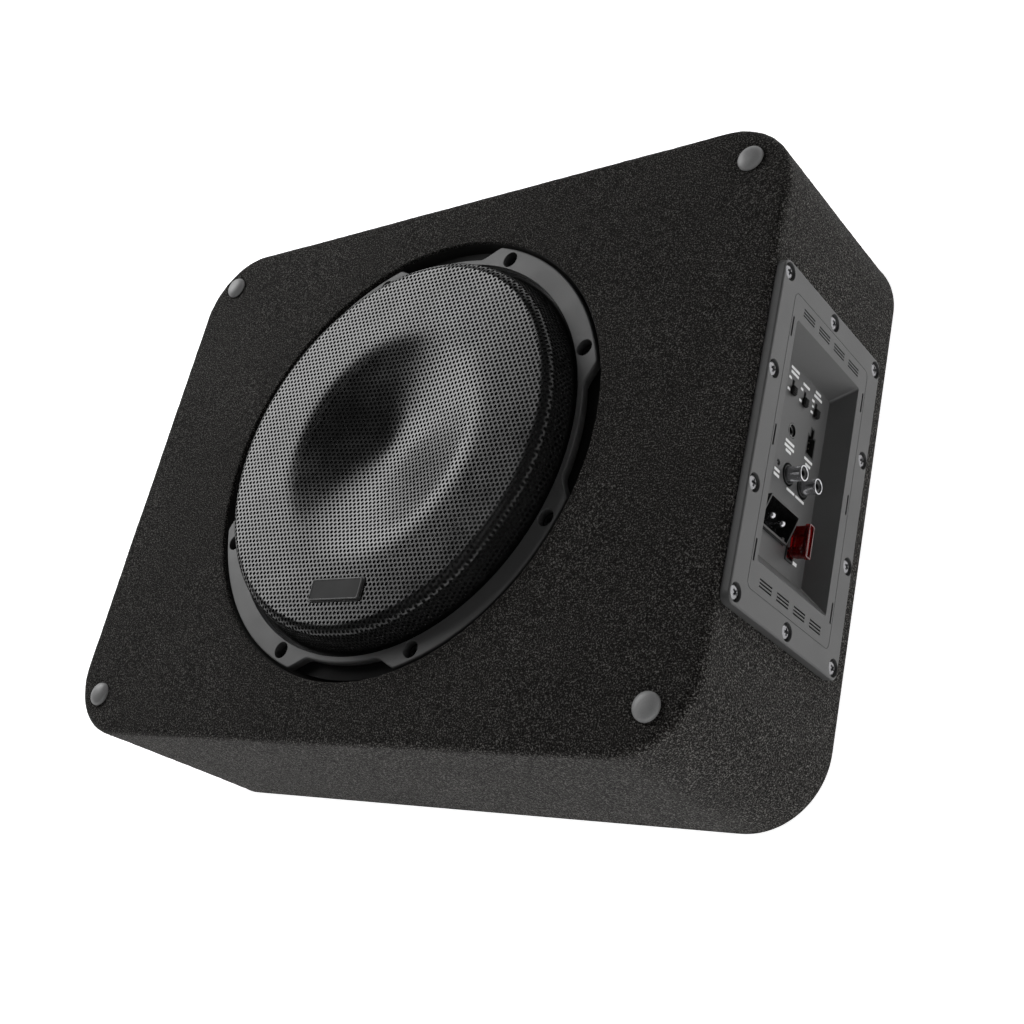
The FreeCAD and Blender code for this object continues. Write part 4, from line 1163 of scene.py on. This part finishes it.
def cone_and_cap():
    """Pressed-paper cone with shallow ribs, and its dust cap."""
    top_z = high("cone")[2]
    neck_r, neck_z = 25.8, low("cone")[2] + 3.0
    slope_r, paper_t = 86.0, 1.2
    rib_count, rib_height, rib_mid_r, rib_reach = 36, 0.12, 66, 14
    steps = 180
    radii = list(np.linspace(neck_r, slope_r, 24)) + [88.0, CONE_EDGE_R]
    points = []
    for drop in (0.0, paper_t):
        for radius in radii:
            share = (radius - neck_r) / (slope_r - neck_r)
            z = min(top_z, neck_z + paper_t + (top_z - neck_z - paper_t) * share)
            ripple = rib_height * math.exp(-((radius - rib_mid_r) / rib_reach) ** 2)
            for step in range(steps):
                turn = 2 * math.pi * step / steps
                lift = ripple * math.cos(rib_count * turn) if radius < slope_r else 0.0
                points.append((radius * math.cos(turn), radius * math.sin(turn), z - drop + lift - 0.02))
    rows = len(radii)
    order = list(range(rows)) + list(range(2 * rows - 1, rows - 1, -1))
    faces = []
    for first, second in zip(order, order[1:] + order[:1]):
        faces += strip(range(first * steps, (first + 1) * steps), range(second * steps, (second + 1) * steps))
    piece("cone_shell", points, faces, "cone_paper", CONE, ["cone"], 60.0)
    lo, hi, mid = box_of("dust_cap")
    rim, rise = hi[0], hi[2] - lo[2]
    top = [(0.0, rise)]
    for radius in np.linspace(2, rim, 16):
        top.append((radius, rise * (1 - (radius / rim) ** 2)))
    under = [(r, z - 0.9) for r, z in reversed(top[:-1])]
    piece("dust_dome", *turned_mesh(top + under, at(upright, 0, 0, lo[2]), 72), "cone_paper", CONE,
          ["dust_cap"], 60.0)


# ---- The amplifier panel's fittings ----

def line_inputs():
    """Two plated jacks: a dark washer, a barrel with a rolled rim, and the insulator with its contact."""
    lo, hi, mid = box_of("line_input_shells")
    barrel_r = (hi[1] - lo[1]) / 2
    tip = hi[0]
    bore, rim = barrel_r - 0.95, 0.45
    back_x, front_x = FLOOR_X - 1.0, FLOOR_X + 0.5
    barrel = [(bore, back_x), (barrel_r - 0.2, back_x), (barrel_r - 0.2, tip - 1.6),
              (barrel_r - 0.1, tip - 1.3), (barrel_r, tip - 1.0)]
    barrel += bend(barrel_r - rim, tip - rim, rim, rim, turns(0, 180, 9))
    washer_r, washer_back = 5.0, FLOOR_X - 0.6
    washer = [(barrel_r + 0.05, washer_back), (washer_r, washer_back), (washer_r, front_x - 0.2),
              (washer_r - 0.15, front_x), (barrel_r + 0.05, front_x)]
    plug_r, plug_x, core_x = 1.6, FLOOR_X - 5.0, FLOOR_X - 6.0
    core = [(0.0, plug_x), (plug_r, plug_x), (plug_r, tip - 1.1), (plug_r + 0.2, tip - 0.9),
            (bore - 0.25, tip - 0.9), (bore, tip - 1.1), (bore, core_x), (0.0, core_x)]
    places = [along_x(mid[1], z) for z in (lo[2] + barrel_r, hi[2] - barrel_r)]
    for name, outline, steps, slot, node in (
            ("line_barrels", barrel, 48, "bright_chrome", "line_input_shells"),
            ("line_washers", washer, 48, "soft_black", "line_input_bases"),
            ("line_insulators", core, 40, "soft_black", "line_input_cores")):
        parts = [turned_mesh(outline, place, steps) for place in places]
        piece(name, *merged(parts), slot, replaces=[node])


def along_x(y, z):
    """Turned shapes whose axis is a line along X through (y, z)."""
    return lambda u, v, w: (w, y + u, z + v)


def power_inlet():
    """Glossy inlet: a shroud cut off at a slant, with a thin rounded rim under a pale grey bead that is a
    painted highlight, two bullet pins and a latch tab.
    """
    node = "power_socket"
    lo, hi = low(node), high(node)
    wall, floor = 1.0, FLOOR_X - 5.0
    rim_low, rim_high = FLOOR_X + 2.0, hi[0]

    def slanted(y):
        return rim_low + (rim_high - rim_low) * (y - lo[1]) / (hi[1] - lo[1])

    outer = end_outline(node, 0.0, 0.8, 4)
    inner = end_outline(node, wall, 0.4, 4)
    points = [(lo[0], y, z) for y, z in outer] + [(slanted(y), y, z) for y, z in outer]
    points += [(slanted(y), y, z) for y, z in inner] + [(floor, y, z) for y, z in inner]
    size = len(outer)
    ends = [tuple(range(size)), tuple(range(4 * size - 1, 3 * size - 1, -1))]
    shroud = piece("inlet_shroud", points, ends + row_strips(4, size), "gloss_black", replaces=[node])
    soften(shroud, 0.22, 3, 50.0)
    # A pale grey bead along the shroud's rim: a painted highlight standing in for light that catches the
    # rim's rounded edge.
    highlight_bead = []
    for inset, drop in ((0.12, 0.1), (0.12, -0.12), (wall - 0.12, -0.12), (wall - 0.12, 0.1)):
        highlight_bead += [(slanted(y) - drop, y, z) for y, z in end_outline(node, inset, 0.6, 4)]
    piece("inlet_rim_highlight", highlight_bead, row_strips(4, size, wrap=True), "ring_grey", replaces=[node])
    lo, hi, mid = box_of("power_pins")
    radius, nose = (hi[1] - lo[1]) / 2, 2.2
    outline = [(0.0, lo[0]), (radius, lo[0]), (radius, hi[0] - nose)]
    outline += bend(0, hi[0] - nose, radius, nose, turns(8, 90, 8))
    outline[-1] = (0.0, hi[0])
    pins = [turned_mesh(outline, along_x(mid[1], z), 32) for z in (lo[2] + radius, hi[2] - radius)]
    piece("inlet_pins", *merged(pins), "bright_chrome", replaces=["power_pins"])
    node = "power_latch"
    plate = plate_mesh([end_outline(node, 0.0, 0.2, 3)], low(node)[0], high(node)[0], on_end)
    latch = piece("inlet_latch", *plate, "panel_grey", replaces=[node])
    soften(latch, 0.2)


def blade_fuse():
    """Clear red blade fuse: a ribbed grip, two shoulders round a window, the bent element and its blades."""
    lo, hi, mid = box_of("fuse")
    half_t = (hi[2] - lo[2]) / 2
    shoulder_y, gap = 5.6, 0.02
    grip_x = hi[0] - 2.4
    grip_loop = end_outline("fuse", 0.0, 0.7)
    tray_loop = end_outline("fuse", 0.7, 0.4)
    parts = [plate_mesh([grip_loop, tray_loop], grip_x, hi[0], on_end),
             plate_mesh([tray_loop], grip_x, hi[0] - 0.8, on_end)]
    for side in (-1, 1):
        loop = rounded_rect(mid[1] + side * shoulder_y, mid[2], 2.4, half_t - 0.1, 0.5)
        parts.append(plate_mesh([loop], lo[0], grip_x - gap, on_end))
    web = rounded_rect(mid[1], mid[2], (hi[1] - lo[1]) / 2 - 1.2, half_t - 1.0, 0.4)
    parts.append(plate_mesh([web], lo[0] + 1.6, grip_x - gap, on_end))
    body = piece("fuse_body", *merged(parts), "fuse_red", "pulled_fuse", ["fuse"])
    soften(body, 0.3, 2, 40.0)
    blade_low, blade_high = low("fuse_blades"), high("fuse_blades")
    foot_x, shank_x, top_x = blade_low[0], blade_low[0] + 0.8, blade_high[0]
    half_w, half_tip, half_strip = 2.5, 1.7, 0.3
    blades = []
    for side in (-1, 1):
        y = mid[1] + side * shoulder_y
        loop = [(y - half_w, shank_x), (y - half_tip, foot_x), (y + half_tip, foot_x),
                (y + half_w, shank_x), (y + half_w, top_x), (y - half_w, top_x)]
        blades.append(plate_mesh([loop], blade_low[2], blade_high[2], lying))
    arch = []
    for half_span, rise, start, end in ((5.0, 3.4, 0, 180), (4.2, 2.6, 180, 0)):
        arch += bend(mid[1], top_x + 0.6, half_span, rise, turns(start, end, 13))
    blades.append(plate_mesh([arch], mid[2] - half_strip, mid[2] + half_strip, lying))
    piece("fuse_metal", *merged(blades), "tinned_brass", "pulled_fuse", ["fuse_blades"])


def fuse_seat():
    """The holder: a rim round the slot that takes the fuse, on a solid block."""
    lo, hi, mid = box_of("fuse_holder")
    outer = end_outline("fuse_holder", 0.0, 0.8)
    inner = rounded_rect(mid[1], mid[2], 9.0, 2.9, 0.4)
    seam = FLOOR_X - 1.0
    rim = plate_mesh([outer, inner], seam, hi[0], on_end)
    block = plate_mesh([outer], lo[0], seam - 0.02, on_end)
    seat = piece("fuse_seat", *merged([rim, block]), "soft_black", replaces=["fuse_holder"])
    soften(seat, 0.2, 2, 50.0)


SWITCHES = ("phase_switch", "crossover_switch", "gain_switch")


def slide_switches():
    """Three knobs with finger ribs, each in its slot."""
    neck_x, cap_x, gap = FLOOR_X + 0.4, FLOOR_X + 1.7, 0.02
    for node in SWITCHES:
        lo, hi, mid = box_of(node)
        y, z = mid[1], mid[2]
        parts = [plate_mesh([rounded_rect(y, z, 1.4, 0.9, 0.2, 3)], lo[0], neck_x, on_end),
                 plate_mesh([rounded_rect(y, z, 2.3, 1.9, 0.4, 4)], neck_x + gap, cap_x, on_end)]
        for rib in (-1.5, -0.5, 0.5, 1.5):
            loop = rounded_rect(y + rib, z, 0.28, 1.7, 0.15, 2)
            parts.append(plate_mesh([loop], cap_x + gap, hi[0], on_end))
        body = node.replace("_switch", "_slider")
        knob = piece(node + "_knob", *merged(parts), "switch_black", body, [node])
        soften(knob, 0.12, 2, 50.0)


def jack_and_light():
    """The remote jack's collar and sleeve, and the light's small domed lens."""
    lo, hi, mid = box_of("remote_jack")
    radius = (hi[1] - lo[1]) / 2
    lip_x = hi[0] + 0.15
    collar = [(1.8, lo[0] + 1.0), (radius, lo[0] + 1.0), (radius, hi[0] - 0.1), (radius - 0.3, lip_x),
              (3.2, lip_x), (3.0, hi[0] - 0.8), (2.0, hi[0] - 0.9), (1.8, hi[0] - 1.1)]
    piece("jack_collar", *turned_mesh(collar, along_x(mid[1], mid[2]), 40), "gloss_black",
          replaces=["remote_jack"])
    lo, hi, mid = box_of("status_light")
    radius, dome = (hi[1] - lo[1]) / 2, 0.8
    lens = [(0.0, lo[0]), (radius, lo[0]), (radius, hi[0] - dome)]
    lens += bend(0, hi[0] - dome, radius, dome, turns(10, 90, 6))
    lens[-1] = (0.0, hi[0])
    piece("light_lens", *turned_mesh(lens, along_x(mid[1], mid[2]), 24), "lens_dark",
          replaces=["status_light"])


LABEL_T = 0.06
SWITCH_BARS = (          # Y, start and end along Z from the switch's middle, width
    (41.2, 2.4, 5.0, 1.4),
    (34.8, 2.2, 4.8, 1.4),
)
LABEL_BARS = (           # beside which fitting, then as above
    ("phase_switch", 47.3, -4.4, 4.2, 1.5),
    ("phase_switch", 44.8, -4.2, 3.8, 1.5),
    ("crossover_switch", 44.8, -3.8, 3.2, 1.5),
    ("gain_switch", 47.3, -3.2, 2.6, 1.5),
    ("gain_switch", 44.8, -5.0, 3.6, 1.5),
    ("gain_switch", 38.2, 2.4, 4.2, 1.2),
    ("remote_jack", 8.9, -4.2, 4.8, 1.5),
    ("remote_jack", 6.3, -4.6, 5.2, 1.5),
    ("remote_jack", 4.0, -2.2, 3.4, 1.5),
    ("status_light", -9.8, -2.6, 2.8, 1.5),
    ("status_light", -12.4, -2.8, 2.8, 1.5),
    ("speaker_input", 8.8, -4.2, 4.4, 1.5),
    ("speaker_input", 6.1, -3.0, 2.4, 1.5),
    ("line_input_shells", -14.2, -11.2, -2.0, 1.4),
    ("line_input_shells", -14.2, -0.8, 7.4, 1.4),
)
FUSE_BAR = (-47.0, 50.6, 56.4, 1.8)      # its heights are from the floor


def labels():
    """Plain printed bars beside the controls, with no lettering."""
    bars = [(node, *bar) for node in SWITCHES for bar in SWITCH_BARS] + list(LABEL_BARS)
    at_heights = [(y, middle(node)[2] + start, middle(node)[2] + end, wide)
                  for node, y, start, end, wide in bars]
    parts = []
    for y, start, end, wide in at_heights + [FUSE_BAR]:
        loop = rounded_rect(y, (start + end) / 2, wide / 2, (end - start) / 2, 0.25, 2)
        parts.append(plate_mesh([loop], FLOOR_X - 0.05, FLOOR_X + LABEL_T, on_end))
    piece("label_bars", *merged(parts), "label_white")


# ---- Floor, lights and camera ----

SWEEP_R = 3.0            # metres: the flat floor ends here and curves up
SWEEP_BEND_R = 1.5
SWEEP_TOP = 2.2
FLOOR_STEP = 0.4
FLOOR_POINTS = 96


def floor():
    """A pale studio floor that sweeps up into a wall all round and glows less towards its top."""
    outline = [(FLOOR_STEP * i, 0.0) for i in range(1, int(SWEEP_R / FLOOR_STEP) + 1)]
    for turn in turns(0, 90, 14):
        outline.append((SWEEP_R + SWEEP_BEND_R * math.sin(turn), SWEEP_BEND_R * (1 - math.cos(turn))))
    outline.append((SWEEP_R + SWEEP_BEND_R, SWEEP_TOP))
    points = []
    for radius, z in outline:
        points += [(radius * math.cos(t), radius * math.sin(t), z) for t in around(FLOOR_POINTS, 0.0)]
    faces = [tuple(range(FLOOR_POINTS))]
    faces += [(a, d, c, b) for a, b, c, d in row_strips(len(outline), FLOOR_POINTS)]
    mesh = bpy.data.meshes.new("floor")
    mesh.from_pydata(points, [], faces)
    mesh.shade_smooth()
    obj = placed("floor", mesh)
    g = Graph("pale_floor")
    parts = g.node("ShaderNodeSeparateXYZ")
    g.join(g.place, parts.inputs["Vector"])
    glow = g.span(parts.outputs["Z"], 0.9, 0.3, 0.0, 0.9)
    g.set(Base_Color=g.ramp(g.noise(900.0, 2.0), [(0.3, 0.86), (0.7, 0.9)]), Roughness=0.9,
          Specular_IOR_Level=0.1, Emission_Color=1.0, Emission_Strength=glow)
    mesh.materials.append(g.material)


def softbox(name, place, aim, width, height, power):
    """A rectangular light: place, aim and sizes in metres, power in watts."""
    light = bpy.data.lights.new(name, "AREA")
    light.shape = "RECTANGLE"
    light.size, light.size_y = width, height
    light.energy = power
    obj = placed(name, light)
    obj.location = place
    obj.rotation_mode = "QUATERNION"
    obj.rotation_quaternion = (Vector(aim) - Vector(place)).to_track_quat("-Z", "Y")


def lights():
    middle_of_box = (0.0, 0.0, 0.08)
    softbox("key_left", (-0.990, 0.608, 0.832), (-0.045, 0.028, 0.062), 0.96, 0.48, 9.9)
    softbox("low_front", (0.45, -1.3, 0.16), middle_of_box, 1.1, 0.3, 1.0)
    softbox("overhead", (0.0, -0.35, 1.3), middle_of_box, 0.8, 0.8, 0.7)
    world = bpy.data.worlds.new("studio")
    world.use_nodes = True
    sky = world.node_tree.nodes["Background"]
    sky.inputs["Color"].default_value = rgba(1.0)
    sky.inputs["Strength"].default_value = 0.06
    bpy.context.scene.world = world


# The camera's place in metres, the direction behind it, and roughly its upward direction.
CAMERA_PLACE = Vector((0.55165, -0.30841, 0.62904))
CAMERA_BACK = Vector((0.62739, -0.36318, 0.68883)).normalized()
CAMERA_UP = Vector((0.06649, 0.90633, 0.41730))


def camera():
    data = bpy.data.cameras.new("camera")
    data.lens = 50.0
    data.sensor_width = 36.0
    data.clip_start = 0.01
    obj = placed("camera", data)
    right = CAMERA_UP.cross(CAMERA_BACK).normalized()
    up = CAMERA_BACK.cross(right)
    turn = Matrix((right, up, CAMERA_BACK)).transposed()
    obj.matrix_world = Matrix.Translation(CAMERA_PLACE) @ turn.to_4x4()
    bpy.context.scene.camera = obj
    bpy.context.scene.view_settings.view_transform = "Standard"


def main():
    dress_cad_nodes()
    carpet()
    pile("felt_dark_fibres", count=12000, long_mm=1.6, thick_mm=0.16, lift=0.45)
    grille()
    badge()
    trim_ring()
    screw_caps()
    driver_screws()
    panel_screws()
    surround()
    spider()
    cone_and_cap()
    line_inputs()
    power_inlet()
    blade_fuse()
    fuse_seat()
    slide_switches()
    jack_and_light()
    labels()
    floor()
    lights()
    camera()


main()
